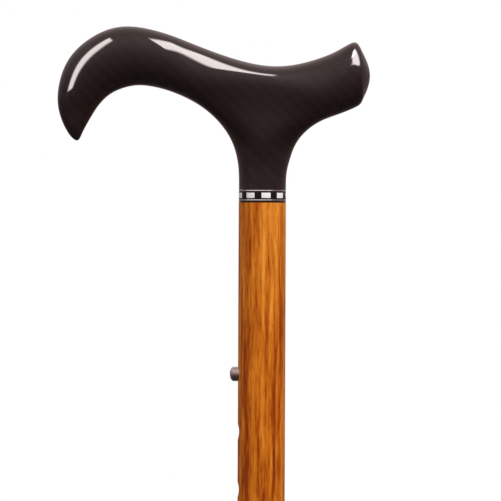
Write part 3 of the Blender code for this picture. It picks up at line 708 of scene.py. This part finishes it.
@dataclass
class Handle:
    """The derby handle: the moulded shell, with the foam, insert and stud inside it."""

    passes: int = 12  # rounds of moving the cage until its smooth surface meets the CAD skin
    levels: int = 2  # subdivisions between the CAD skin's corners
    merge: float = 10 * MERGE_DISTANCE  # corners of the CAD skin closer than this are one

    def build(self) -> None:
        """Make the shell, and dress what is inside it."""
        outer, inner = self.split_skin()
        self.spread(outer)
        shell = as_piece("handle_shell", outer)
        smooth = shell.modifiers.new("smooth", "SUBSURF")
        smooth.levels = smooth.render_levels = self.levels
        settle(shell)
        self.join_walls(shell, inner)
        fit(shell, HANDLE_LACQUER, Body.UPPER, "handle_skin")
        carry_over("handle_core", RIGID_FOAM)
        carry_over("neck_insert", TURNED_ALUMINIUM)
        carry_over("handle_stud", ZINC_STEEL)

    def split_skin(self) -> tuple[bmesh.types.BMesh, bmesh.types.BMesh]:
        """Take the CAD skin apart.

        Returns:
            Its outer surface in quads and its cavity, both open at the neck.
        """
        outer = bmesh.new()
        outer.from_mesh(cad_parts["handle_skin"].data)
        bmesh.ops.remove_doubles(outer, verts=outer.verts, dist=self.merge)
        neck_end = foot_of("handle_skin")
        rim = [face for face in outer.faces if max(v.co.z for v in face.verts) < neck_end + MERGE_DISTANCE]
        bmesh.ops.delete(outer, geom=rim, context="FACES")
        reached = {max(outer.verts, key=lambda corner: corner.co.z)}
        fresh = set(reached)
        while fresh:
            fresh = {edge.other_vert(corner) for corner in fresh for edge in corner.link_edges} - reached
            reached |= fresh
        for i, corner in enumerate(outer.verts):
            corner.index = i
        kept = {corner.index for corner in reached}
        inner = outer.copy()
        inner.verts.ensure_lookup_table()
        outside = [corner for i, corner in enumerate(inner.verts) if i in kept]
        bmesh.ops.delete(inner, geom=outside, context="VERTS")
        inside = [corner for corner in outer.verts if corner not in reached]
        bmesh.ops.delete(outer, geom=inside, context="VERTS")
        bmesh.ops.join_triangles(
            outer,
            faces=outer.faces,
            angle_face_threshold=math.pi,
            angle_shape_threshold=math.pi,
            topology_influence=1.0,
        )
        return outer, inner

    def spread(self, shape: bmesh.types.BMesh) -> None:
        """Move a cage of quads so that its smoothed surface passes where its corners were.

        Args:
            shape: The cage.
        """
        targets = {corner: corner.co.copy() for corner in shape.verts}
        for _ in range(self.passes):
            moves = {corner: targets[corner] - self.smooth_limit(corner) for corner in shape.verts}
            for corner, move in moves.items():
                corner.co += move

    def smooth_limit(self, corner: bmesh.types.BMVert) -> Vector:
        """Say where subdivision carries one corner of a cage of quads.

        Args:
            corner: The corner.

        Returns:
            Its place on the smooth surface.
        """
        if corner.is_boundary:
            beside = [edge.other_vert(corner).co for edge in corner.link_edges if edge.is_boundary]
            return (4 * corner.co + beside[0] + beside[1]) / 6
        count = len(corner.link_edges)
        total = count * count * corner.co
        for edge in corner.link_edges:
            total += 4 * edge.other_vert(corner).co
        for loop in corner.link_loops:
            total += loop.link_loop_next.link_loop_next.vert.co
        return total / (count * (count + 5))

    def join_walls(self, shell: bpy.types.Object, inner: bmesh.types.BMesh) -> None:
        """Add the cavity to the shell, and close the wall round the neck's end.

        Args:
            shell: The shell, open at the neck.
            inner: The cavity's surface. It is freed.
        """
        cavity = bpy.data.meshes.new("cavity")
        inner.to_mesh(cavity)
        inner.free()
        low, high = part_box("handle_skin")
        shape = bmesh.new()
        shape.from_mesh(shell.data)
        for corner in shape.verts:
            if corner.is_boundary:
                corner.co.z = low.z
            # The smoothed surface swells a hair past the CAD skin's box
            corner.co = [min(max(place, least), most) for place, least, most in zip(corner.co, low, high)]
        shape.from_mesh(cavity)
        bpy.data.meshes.remove(cavity)
        rims = [edge for edge in shape.edges if edge.is_boundary]
        bmesh.ops.bridge_loops(shape, edges=rims)
        bmesh.ops.recalc_face_normals(shape, faces=shape.faces)
        shape.to_mesh(shell.data)
        shape.free()
        shade(shell)


@dataclass
class Collar:
    """The collar under the neck: two polished rings, a black band with white inlays, and a dark base ring."""

    ring_edge: float = 0.14 * MM
    band_edge: float = 0.05 * MM
    inlay_count: int = 9
    inlay_height: float = 2.4 * MM
    inlay_depth: float = 1.5 * MM
    inlay_arc: float = 22.7  # degrees
    inlay_start: float = 9.2  # degrees from -Y towards +X
    inlay_edge: float = 0.08 * MM
    seam: float = 0.02 * MM  # the fine line round an inlay

    def build(self) -> None:
        """Make the rings, the band and its inlays."""
        for node, edge, finish, slot in (
            ("collar_upper_ring", self.ring_edge, NICKEL, "polished_nickel"),
            ("collar_band", self.band_edge, BLACK_RESIN, "black_resin"),
            ("collar_lower_ring", self.ring_edge, NICKEL, "polished_nickel"),
            ("collar_base_ring", self.ring_edge, BLACK_RESIN, "black_resin"),
        ):
            ring = self.make_ring(node, edge)
            if node == "collar_band":
                self.set_inlays(ring)
            fit(ring, finish, Body.UPPER, node)

    def make_ring(self, node: str, edge: float) -> bpy.types.Object:
        """Make one ring of the stack.

        Args:
            node: The CAD node that it stands for.
            edge: The radius that its outer edges are rounded to.

        Returns:
            The ring.
        """
        bore = radius_of("handle_stud") + BOND_GAP
        return as_piece(node.replace("collar", "turned_collar"), sleeve(node, bore, edge))

    def set_inlays(self, band: bpy.types.Object) -> None:
        """Make the inlays, and cut their pockets in the band.

        Args:
            band: The band.
        """
        radius = radius_of("collar_band")
        seat = radius - self.inlay_depth
        middle = middle_of("collar_band")
        half = self.inlay_height / 2
        reach = half + self.seam
        pocket_arc = self.inlay_arc + 2 * math.degrees(self.seam / radius)
        pockets = bpy.data.meshes.new("pockets")
        all_pockets = bmesh.new()
        for i in range(self.inlay_count):
            turn = self.inlay_start + i * 360 / self.inlay_count
            pocket = sector(
                seat - self.seam, radius + self.inlay_depth, middle - reach, middle + reach, turn, pocket_arc
            )
            pocket.to_mesh(pockets)
            pocket.free()
            all_pockets.from_mesh(pockets)
            block = sector(seat, radius, middle - half, middle + half, turn, self.inlay_arc)
            edges = [edge for edge in block.edges if edge.calc_face_angle() > math.radians(SHARP_ANGLE)]
            bmesh.ops.bevel(
                block,
                geom=edges,
                offset=self.inlay_edge,
                affect="EDGES",
                segments=2,
                profile=0.5,
                material=-1,
            )
            inlay = as_piece(f"polished_inlay_{i + 1}", block)
            fit(inlay, WHITE_RESIN, Body.UPPER, f"collar_inlay_{i + 1}")
        drill(band, all_pockets)


@dataclass
class UpperTube:
    """The wood-look upper tube with its row of adjustment holes, and the plug in its top."""

    wall: float = 1.3 * MM
    edge: float = 0.3 * MM
    hole_diameter: float = 7.0 * MM
    hole_pitch: float = 25.4 * MM
    hole_count: int = 7

    def build(self) -> None:
        """Make the tube, and dress the plug."""
        radius = radius_of("outer_tube")
        tube = as_piece("film_wrapped_tube", sleeve("outer_tube", radius - self.wall, self.edge))
        first = middle_of("snap_button")
        heights = [first - i * self.hole_pitch for i in range(self.hole_count)]
        drill(tube, side_drill(heights, self.hole_diameter / 2, radius + self.hole_diameter))
        fit(tube, TUBE_FILM, Body.UPPER, "outer_tube")
        carry_over("tube_plug", TURNED_ALUMINIUM)


@dataclass
class SnapButton:
    """The domed snap button with its flange and rivet, and the spring leaf that carries it."""

    diameter: float = 6.35 * MM
    dome: float = 1.7 * MM
    dome_steps: int = 12
    flange_diameter: float = 8.4 * MM
    flange_thickness: float = 0.8 * MM
    rivet_diameter: float = 3.0 * MM
    rivet_head_diameter: float = 5.0 * MM
    rivet_head_thickness: float = 0.8 * MM
    leaf_space: float = 1.4 * MM  # between the rivet's head and the flange
    leaf_thickness: float = 0.8 * MM
    bend_radius: float = 2.6 * MM  # of the leaf's middle
    pad_length: float = 7.0 * MM  # of the leaf's straight stretch below the button's axis
    rivet_gap: float = 0.3 * MM
    arm_steps: int = 12
    bend_steps: int = 8
    reach_slant: float = 0.14  # rise for each step to the left

    def build(self) -> None:
        """Make the button and its spring leaf."""
        self.make_button()
        self.make_leaf()

    def make_button(self) -> None:
        """Turn the button about the hole's axis."""
        low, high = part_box("snap_button")
        tip, root = -low.x, -high.x
        pin = self.diameter / 2
        head, head_edge = self.rivet_head_diameter / 2, self.rivet_head_thickness / 2
        head_out = root + self.rivet_head_thickness
        flange_in = head_out + self.leaf_space
        flange_out = flange_in + self.flange_thickness
        shoulder = tip - self.dome
        profile = [
            (0, root, 0),
            (head, root, head_edge),
            (head, head_out, 0),
            (self.rivet_diameter / 2, head_out, 0),
            (self.rivet_diameter / 2, flange_in, 0),
            (self.flange_diameter / 2, flange_in, 0),
            (self.flange_diameter / 2, flange_out, 0),
            (pin, flange_out, 0),
        ]
        for i in range(self.dome_steps):
            angle = math.pi / 2 * i / self.dome_steps
            profile.append((pin * math.cos(angle), shoulder + self.dome * math.sin(angle), 0))
        profile.append((0, tip, 0))
        shape = turned(profile, SMALL_STEPS)
        bmesh.ops.rotate(
            shape, verts=shape.verts, cent=(0, 0, 0), matrix=Matrix.Rotation(-math.pi / 2, 3, "Y")
        )
        bmesh.ops.translate(shape, verts=shape.verts, vec=(0, 0, (low.z + high.z) / 2))
        fit(as_piece("domed_button", shape), NICKEL, Body.BUTTON, "snap_button")

    def make_leaf(self) -> None:
        """Bend the leaf to a V, with its near arm at the button and its far arm at the far side."""
        low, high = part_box("button_spring")
        button = middle_of("snap_button")
        half = self.leaf_thickness / 2
        near = low.x + half
        far = high.x - half
        middle = (near + far) / 2
        bend = low.z + half + self.bend_radius
        near_end = Vector((middle - self.bend_radius, low.y, bend))
        far_end = Vector((middle + self.bend_radius, low.y, bend))
        near_pad = Vector((near, low.y, button - self.pad_length))
        far_pad = Vector((far, low.y, button - self.pad_length))
        route = [Vector((near, low.y, high.z)), Vector((near, low.y, button))]
        route += [near_pad.lerp(near_end, i / self.arm_steps) for i in range(self.arm_steps)]
        for i in range(self.bend_steps + 1):
            angle = math.pi * i / self.bend_steps
            aside = self.bend_radius * math.cos(angle)
            down = self.bend_radius * math.sin(angle)
            route.append(Vector((middle - aside, low.y, bend - down)))
        route += [far_end.lerp(far_pad, (i + 1) / self.arm_steps) for i in range(self.arm_steps)]
        route.append(Vector((far, low.y, high.z)))
        shape = bmesh.new()
        side = [shape.verts.new(point) for point in route]
        edges = [shape.edges.new(pair) for pair in zip(side, side[1:])]
        swept = bmesh.ops.extrude_edge_only(shape, edges=edges)["geom"]
        moved = [item for item in swept if isinstance(item, bmesh.types.BMVert)]
        bmesh.ops.translate(shape, verts=moved, vec=(0, high.y - low.y, 0))
        leaf = as_piece("bent_spring_leaf", shape)
        thicken = leaf.modifiers.new("thickness", "SOLIDIFY")
        thicken.thickness = self.leaf_thickness
        thicken.offset = 0.0
        thicken.use_even_offset = True
        settle(leaf)
        drill(leaf, side_drill([button], self.rivet_diameter / 2 + self.rivet_gap, self.diameter))
        dress(leaf, SPRING_STEEL)
        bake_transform(leaf)
        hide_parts("button_spring")
        log.info("%s bends from %s to %s", leaf.name, Body.LOWER.value, Body.BUTTON.value)


@dataclass
class TubeLock:
    """The anti-rattle lock under the upper tube: the slotted bush, the clamp ring and the fluted nut."""

    shoulder_height: float = 6.0 * MM
    taper_height: float = 5.0 * MM
    tip_wall: float = 1.2 * MM
    running_gap: float = 0.1 * MM
    slot_width: float = 1.6 * MM
    slot_depth: float = 12.0 * MM
    slot_pairs: int = 2
    ring_lip: float = 2.0 * MM
    nut_floor: float = 2.4 * MM
    nut_edge: float = 0.8 * MM
    bush_edge: float = 0.8 * MM
    shoulder_edge: float = 0.15 * MM
    clamp_edge: float = 0.2 * MM
    flute_count: int = 24
    flute_depth: float = 0.5 * MM
    facets_per_flute: int = 12

    def build(self) -> None:
        """Make the bush, the clamp ring and the nut."""
        fit(self.make_bush(), BLACK_NYLON, Body.UPPER, "lock_bush")
        fit(self.make_clamp_ring(), BLACK_NYLON, Body.CLAMP, "clamp_ring")
        fit(self.make_nut(), BLACK_NYLON, Body.LOCK, "lock_nut")

    def make_bush(self) -> bpy.types.Object:
        """Make the bush with its slotted fingers.

        Returns:
            The bush.
        """
        tube_end = foot_of("outer_tube")
        low, high = foot_of("lock_bush"), top_of("lock_bush")
        bore = radius_of("inner_tube") + self.running_gap
        sleeve = radius_of("outer_tube") + BOND_GAP
        thread = radius_of("clamp_ring")
        shoulder = radius_of("lock_bush")
        profile = [
            (bore, low, 0),
            (bore + self.tip_wall, low, 0),
            (thread, low + self.taper_height, 0),
            (thread, high - self.shoulder_height, 0),
            (shoulder, high - self.shoulder_height, self.shoulder_edge),
            (shoulder, high, self.bush_edge),
            (sleeve, high, 0),
            (sleeve, tube_end - BOND_GAP, 0),
            (bore, tube_end - BOND_GAP, 0),
        ]
        bush = as_piece("threaded_bush", turned(profile))
        for i in range(self.slot_pairs):
            slot = bmesh.new()
            bmesh.ops.create_cube(slot, size=1.0)
            size = (2 * thread + self.slot_width, self.slot_width, 2 * self.slot_depth)
            bmesh.ops.scale(slot, verts=slot.verts, vec=size)
            turn = Matrix.Rotation(math.pi * (i + 0.5) / self.slot_pairs, 3, "Z")
            bmesh.ops.rotate(slot, verts=slot.verts, cent=(0, 0, 0), matrix=turn)
            bmesh.ops.translate(slot, verts=slot.verts, vec=(0, 0, low))
            drill(bush, slot)
        return bush

    def make_clamp_ring(self) -> bpy.types.Object:
        """Make the wedge ring that closes the fingers.

        Returns:
            The ring.
        """
        seat = foot_of("lock_bush")
        low = foot_of("clamp_ring")
        bore = radius_of("inner_tube") + BOND_GAP
        thread = radius_of("clamp_ring")
        tip = radius_of("inner_tube") + self.running_gap + self.tip_wall
        lip = tip + (thread - tip) * self.ring_lip / self.taper_height
        profile = [
            (bore, low, 0),
            (thread, low, self.clamp_edge),
            (thread, seat + self.ring_lip, 0),
            (lip + BOND_GAP, seat + self.ring_lip, 0),
            (tip + BOND_GAP, seat - BOND_GAP, 0),
            (bore, seat - BOND_GAP, 0),
        ]
        return as_piece("wedge_ring", turned(profile))

    def make_nut(self) -> bpy.types.Object:
        """Make the nut with its grip flutes.

        Returns:
            The nut.
        """
        low, high = foot_of("lock_nut"), top_of("lock_nut")
        radius = radius_of("lock_nut")
        hole = radius_of("inner_tube") + BOND_GAP
        bore = radius_of("clamp_ring") + self.running_gap
        floor = low + self.nut_floor
        profile = [
            (hole, low, 0),
            (radius, low, self.nut_edge),
            (radius, high, self.nut_edge),
            (bore, high, 0),
            (bore, floor, 0),
            (hole, floor, 0),
        ]
        shape = turned(profile, self.flute_count * self.facets_per_flute)
        run = 2 * self.nut_edge
        for corner in shape.verts:
            distance = corner.co.xy.length
            if distance < bore + self.flute_depth:
                continue
            to_end = min(corner.co.z - low, high - corner.co.z)
            share = min(1.0, to_end / run)
            angle = math.atan2(corner.co.y, corner.co.x)
            dip = self.flute_depth * share * (1 - math.cos(self.flute_count * angle)) / 2
            corner.co.xy *= 1 - dip / distance
        return as_piece("fluted_nut", shape)


@dataclass
class LowerTube:
    """The twill carbon lower tube with the button's hole, its guide bush and its end plug."""

    wall: float = 1.2 * MM
    edge: float = 0.3 * MM
    hole_diameter: float = 7.0 * MM

    def build(self) -> None:
        """Make the tube, and dress the bush and plug in its ends."""
        radius = radius_of("inner_tube")
        tube = as_piece("twill_wrapped_tube", sleeve("inner_tube", radius - self.wall, self.edge))
        hole = middle_of("snap_button")
        drill(tube, side_drill([hole], self.hole_diameter / 2, radius + self.wall))
        fit(tube, LOWER_TWILL, Body.LOWER, "inner_tube")
        carry_over("guide_bush", BLACK_NYLON)
        carry_over("end_plug", BLACK_NYLON)


@dataclass
class Foot:
    """The ribbed rubber ferrule, and the steel washer under the tube."""

    floor: float = 12.0 * MM
    wall: float = 3.4 * MM
    flare_start: float = 5.4 * MM
    flare_top: float = 15.0 * MM
    flare_steps: int = 16
    rib: float = 0.7 * MM
    rib_height: float = 3.0 * MM
    rib_pitch: float = 10.0 * MM
    rib_count: int = 2
    tread_edge: float = 1.8 * MM
    groove_depth: float = 1.2 * MM
    groove_width: float = 1.6 * MM
    groove_radii: tuple[float, ...] = (6.0 * MM, 10.6 * MM)
    groove_edge: float = 0.2 * MM
    rib_root_edge: float = 0.3 * MM
    rib_edge: float = 0.25 * MM
    rib_top_edge: float = 0.2 * MM

    def build(self) -> None:
        """Make the ferrule, and dress the washer."""
        base, height = radius_of("ferrule"), top_of("ferrule")
        bore = radius_of("inner_tube") + BOND_GAP
        barrel = bore + self.wall
        profile: list[tuple[float, float, float]] = [(0, 0, 0)]
        slope = self.groove_width / 4
        for groove in self.groove_radii:
            profile += [
                (groove, 0, self.groove_edge),
                (groove + slope, self.groove_depth, self.groove_edge),
                (groove + self.groove_width - slope, self.groove_depth, self.groove_edge),
                (groove + self.groove_width, 0, self.groove_edge),
            ]
        profile.append((base, 0, self.tread_edge))
        for i in range(self.flare_steps + 1):
            angle = math.pi / 2 * i / self.flare_steps
            out = barrel + (base - barrel) * (1 - math.sin(angle))
            rise = (self.flare_top - self.flare_start) * (1 - math.cos(angle))
            profile.append((out, self.flare_start + rise, 0))
        for i in reversed(range(self.rib_count)):
            rib_top = height - i * self.rib_pitch
            rib_low = rib_top - self.rib_height
            profile += [
                (barrel, rib_low - self.rib, self.rib_root_edge),
                (barrel + self.rib, rib_low, self.rib_edge),
                (barrel + self.rib, rib_top - self.rib, self.rib_edge),
                (barrel, rib_top, self.rib_top_edge),
            ]
        profile += [(bore, height, 0), (bore, self.floor, 0), (0, self.floor, 0)]
        fit(as_piece("rubber_foot", turned(profile)), BLACK_RUBBER, Body.LOWER, "ferrule")
        carry_over("ferrule_washer", ZINC_STEEL)


WARM_WHITE = "#fff4f2"
# Corners of light cards, for each metre of their distance
SQUARE_CORNERS = ((-0.3, -0.3), (0.3, -0.3), (0.3, 0.3), (-0.3, 0.3))
BROAD_CORNERS = ((-2.5, -0.70), (2.5, -0.70), (2.5, 0.70), (-2.5, 0.70))


@dataclass(frozen=True)
class LightCard:
    """A glowing card with four corners, square to the line from the handle. The camera doesn't see it."""

    name: str
    bearing: float  # degrees from -Y towards +X
    rise: float  # degrees over the horizon
    distance: float
    corners: tuple[tuple[float, float], ...]  # right and up of its middle, for each metre of distance
    level: float  # its brightness, where white paper in full light is 1
    colour: str = "#ffffff"
    fades: tuple[float, ...] = ()  # the shares of it that fade out at its left, right, bottom and top
    only: tuple[str, ...] = ()  # the pieces that mirror it. Without any, it is a lamp that nothing mirrors

    def cut(self) -> bmesh.types.BMesh:
        """Cut the card to its four corners.

        Returns:
            The card, lying flat around the origin.
        """
        shape = bmesh.new()
        shape.loops.layers.uv.new("card")
        bmesh.ops.create_grid(shape, x_segments=8, y_segments=8, size=0.5, calc_uvs=True)
        low_left, low_right, high_right, high_left = (Vector((*corner, 0)) for corner in self.corners)
        for vert in shape.verts:
            right = vert.co.x + 0.5
            up = vert.co.y + 0.5
            vert.co = low_left.lerp(low_right, right).lerp(high_left.lerp(high_right, right), up)
            vert.co *= self.distance
        return shape

    def glow(self) -> bpy.types.Material:
        """Make the glow, which fades out at the edges.

        Returns:
            The material.
        """
        material = bpy.data.materials.new(self.name)
        material.use_nodes = True
        tree = material.node_tree
        tree.nodes.clear()
        light = add_node(
            tree, "ShaderNodeEmission", {"Color": linear(self.colour), "Strength": self.level}
        )
        if self.fades:
            place = add_node(tree, "ShaderNodeUVMap", uv_map="card").outputs["UV"]
            split = add_node(tree, "ShaderNodeSeparateXYZ", {0: place})
            strength = self.level
            for side, share in enumerate(self.fades):
                edge = side % 2
                inside = abs(edge - share)
                fade = add_node(
                    tree,
                    "ShaderNodeMapRange",
                    {0: split.outputs[side // 2], 1: edge, 2: inside},
                    interpolation_type="SMOOTHSTEP",
                )
                strength = add_node(
                    tree, "ShaderNodeMath", {0: fade, 1: strength}, operation="MULTIPLY"
                ).outputs[0]
            tree.links.new(strength, light.inputs["Strength"])
        # Pieces that the card doesn't shine on mirror the room through it
        clear = add_node(tree, "ShaderNodeBsdfTransparent")
        both = add_node(tree, "ShaderNodeAddShader", {0: light, 1: clear})
        add_node(tree, "ShaderNodeOutputMaterial", {"Surface": both})
        return material

    def hang(self, aim: Vector) -> None:
        """Hang the card.

        Args:
            aim: The point that it is turned to.
        """
        shape = self.cut()
        bearing = Matrix.Rotation(math.radians(self.bearing), 4, "Z")
        rise = Matrix.Rotation(math.radians(90 - self.rise), 4, "X")
        out = Matrix.Translation((0, 0, self.distance))
        bmesh.ops.transform(shape, matrix=Matrix.Translation(aim) @ bearing @ rise @ out, verts=shape.verts)
        bmesh.ops.reverse_faces(shape, faces=shape.faces)
        card = as_piece(self.name, shape)
        card.data.materials.append(self.glow())
        card.visible_camera = card.visible_shadow = False
        card.visible_diffuse = not self.only
        card.visible_glossy = bool(self.only)
        if self.only:
            lit = bpy.data.collections.new(self.name)
            for piece in self.only:
                lit.objects.link(bpy.data.objects[piece])
            card.light_linking.receiver_collection = lit


@dataclass(frozen=True)
class Flag:
    """An upright sheet over the ridge of the handle, so that its far side mirrors this and not the cards.

    Only mirror images show it, and from the front it is clear.
    """

    reach: float = 0.6  # to each side of the shaft's axis
    low: float = 0.79
    high: float = 1.6
    colour: str = "#c4b0ac"

    def hang(self) -> None:
        """Stand the sheet in the plane of the handle."""
        shape = bmesh.new()
        bmesh.ops.create_grid(shape, x_segments=1, y_segments=1, size=1.0)
        upright = Matrix.Rotation(-math.pi / 2, 4, "X")
        size = Matrix.Diagonal((self.reach, (self.high - self.low) / 2, 1.0, 1.0))
        place = Matrix.Translation((0, 0, (self.high + self.low) / 2))
        bmesh.ops.transform(shape, matrix=place @ upright @ size, verts=shape.verts)
        flag = as_piece("flag", shape)
        material = bpy.data.materials.new("flag")
        material.use_nodes = True
        tree = material.node_tree
        tree.nodes.clear()
        far_side = add_node(tree, "ShaderNodeEmission", {"Color": linear(self.colour)})
        near_side = add_node(tree, "ShaderNodeBsdfTransparent")
        from_front = add_node(tree, "ShaderNodeNewGeometry").outputs["Backfacing"]
        sheet = add_node(tree, "ShaderNodeMixShader", {0: from_front, 1: far_side, 2: near_side})
        add_node(tree, "ShaderNodeOutputMaterial", {"Surface": sheet})
        flag.data.materials.append(material)
        flag.visible_camera = flag.visible_shadow = flag.visible_diffuse = False


@dataclass
class Studio:
    """The floor, the lights, the pale room and the photograph's camera."""

    photo_side: int = 501  # pixels
    hole_pitch_pixels: float = 57.8
    hole_pitch: float = 25.4 * MM
    neck_pixel: tuple[float, float] = (262.4, 190.0)  # where the shaft's axis meets the end of the neck
    lean: float = 0.25  # degrees that the shaft leans in the photograph
    distance: float = 3.0
    sensor: float = 36.0
    room_level: float = 0.45
    floor_radius: float = 0.52
    behind: tuple[float, float] = (0.96, 0.995)  # from this much along +Y, gloss mirrors the white ground
    aim: tuple[float, float, float] = (-0.02, 0.0, 0.82)  # the point in the handle that the cards face
    cards: tuple[LightCard, ...] = (
        LightCard("front_light", bearing=24, rise=40, distance=3.0, corners=SQUARE_CORNERS, level=6.5),
        LightCard("back_light", bearing=170, rise=25, distance=3.0, corners=SQUARE_CORNERS, level=4.0),
        # The sheen of the black plastic, the rubber and the lower tube
        LightCard(
            "sheen_card",
            bearing=-25,
            rise=35,
            distance=3.0,
            corners=((-0.3, -0.5), (0.3, -0.5), (0.3, 0.5), (-0.3, 0.5)),
            level=6.0,
            fades=(0.3, 0.3, 0.2, 0.2),
            only=("fluted_nut", "threaded_bush", "wedge_ring", "twill_wrapped_tube", "rubber_foot"),
        ),
        # The three highlights on the handle: along the palm, over the hump and at the heel
        LightCard(
            "palm_card",
            bearing=26,
            rise=57,
            distance=3.0,
            corners=((-0.34, -0.48), (0.33, -0.08), (0.34, 0.52), (-0.07, 0.22)),
            level=14.0,
            colour=WARM_WHITE,
            fades=(0.03, 0.30, 0.22, 0.30),
            only=("handle_shell",),
        ),
        LightCard(
            "hump_card",
            bearing=-40,
            rise=15,
            distance=0.25,
            corners=((-0.33, -0.41), (0.03, -0.45), (0.08, 0.41), (-0.29, 0.93)),
            level=13.5,
            colour=WARM_WHITE,
            fades=(0.38, 0.30, 0.04, 0.08),
            only=("handle_shell",),
        ),
        LightCard(
            "heel_card",
            bearing=45,
            rise=35,
            distance=0.35,
            corners=((-0.48, -0.35), (0.62, -0.37), (0.58, 1.08), (-0.34, 0.25)),
            level=15.0,
            colour=WARM_WHITE,
            fades=(0.08, 0.50, 0.10, 0.40),
            only=("handle_shell",),
        ),
        # The bright half of the button, and the shine of the rings
        LightCard(
            "button_card",
            bearing=-20,
            rise=30,
            distance=1.0,
            corners=BROAD_CORNERS,
            level=0.95,
            only=("domed_button",),
        ),
        LightCard(
            "ring_card",
            bearing=-20,
            rise=30,
            distance=1.0,
            corners=BROAD_CORNERS,
            level=0.62,
            only=("turned_collar_upper_ring", "turned_collar_lower_ring"),
        ),
    )

    def build(self) -> None:
        """Make the floor, the room, the cards, the sheet over the ridge and the camera."""
        shape = bmesh.new()
        bmesh.ops.create_circle(shape, cap_ends=True, segments=TUBE_STEPS, radius=self.floor_radius)
        floor = as_piece("floor", shape)
        dress(floor, PALE_FLOOR)
        floor.visible_glossy = False
        self.make_room()
        for card in self.cards:
            card.hang(Vector(self.aim))
        Flag().hang()
        self.make_camera()
        bpy.context.scene.view_settings.view_transform = "Standard"

    def make_room(self) -> None:
        """Make the room: plain light on the stick, a white ground past it, and walls for gloss to mirror.

        The walls are dark near the floor and pale near the ceiling. Gloss mirrors them, and the white ground
        straight behind what it is on.
        """
        world = bpy.data.worlds.new("room")
        world.use_nodes = True
        bpy.context.scene.world = world
        tree = world.node_tree
        tree.nodes.clear()
        path = add_node(tree, "ShaderNodeLightPath").outputs
        toward = add_node(
            tree, "ShaderNodeSeparateXYZ", {0: add_node(tree, "ShaderNodeTexCoord").outputs["Generated"]}
        ).outputs
        walls = add_node(
            tree,
            "ShaderNodeValToRGB",
            {0: add_node(tree, "ShaderNodeMapRange", {0: toward["Z"], 1: -1.0, 2: 1.0})},
            stops=(
                (0.12, "#3a3030"),
                (0.97, "#cfbab4"),
                (0.33, "#604a48"),
                (0.50, "#887072"),
                (0.67, "#b5a3a4"),
                (0.85, "#ccb8b5"),
            ),
        )
        starts, full = self.behind
        behind = add_node(
            tree,
            "ShaderNodeMapRange",
            {0: toward["Y"], 1: starts, 2: full},
            interpolation_type="SMOOTHSTEP",
        )
        mirrored = add_node(
            tree, "ShaderNodeMix", {0: behind, 6: walls, 7: linear("#ffffff")}, data_type="RGBA"
        )
        level = self.room_level
        plain = add_node(
            tree,
            "ShaderNodeMix",
            {0: path["Is Glossy Ray"], 6: (level, level, level, 1.0), 7: mirrored.outputs[2]},
            data_type="RGBA",
        )
        seen = add_node(
            tree,
            "ShaderNodeMath",
            {0: path["Is Camera Ray"], 1: path["Is Transmission Ray"]},
            operation="MAXIMUM",
        )
        colour = add_node(
            tree, "ShaderNodeMix", {0: seen, 6: plain.outputs[2], 7: linear("#ffffff")}, data_type="RGBA"
        )
        ground = add_node(tree, "ShaderNodeBackground", {"Color": colour.outputs[2]})
        add_node(tree, "ShaderNodeOutputWorld", {"Surface": ground})

    def make_camera(self) -> None:
        """Stand a long lens level, at the photograph's framing."""
        per_pixel = self.hole_pitch / self.hole_pitch_pixels
        lean = math.radians(self.lean)
        middle = self.photo_side / 2
        right = (middle - self.neck_pixel[0]) * per_pixel
        down = (middle - self.neck_pixel[1]) * per_pixel
        lens = bpy.data.cameras.new("photo_camera")
        lens.sensor_width = self.sensor
        lens.lens = self.sensor * self.distance / (self.photo_side * per_pixel)
        camera = bpy.data.objects.new("photo_camera", lens)
        bpy.context.scene.collection.objects.link(camera)
        turn = Matrix.Rotation(math.pi / 2, 3, "X") @ Matrix.Rotation(lean, 3, "Z")
        offset = turn @ Vector((right, -down, self.distance))
        camera.location = offset + Vector((0, 0, foot_of("handle_skin")))
        camera.rotation_euler = turn.to_euler()
        bpy.context.scene.camera = camera


def main() -> None:
    """Build the stick's looks sub-assembly by sub-assembly, then the studio."""
    logging.basicConfig(level=logging.INFO, format="%(message)s")
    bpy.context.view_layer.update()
    for assembly in (Foot(), LowerTube(), SnapButton(), TubeLock(), UpperTube(), Collar(), Handle()):
        assembly.build()
    Studio().build()


if __name__ == "__main__":
    main()
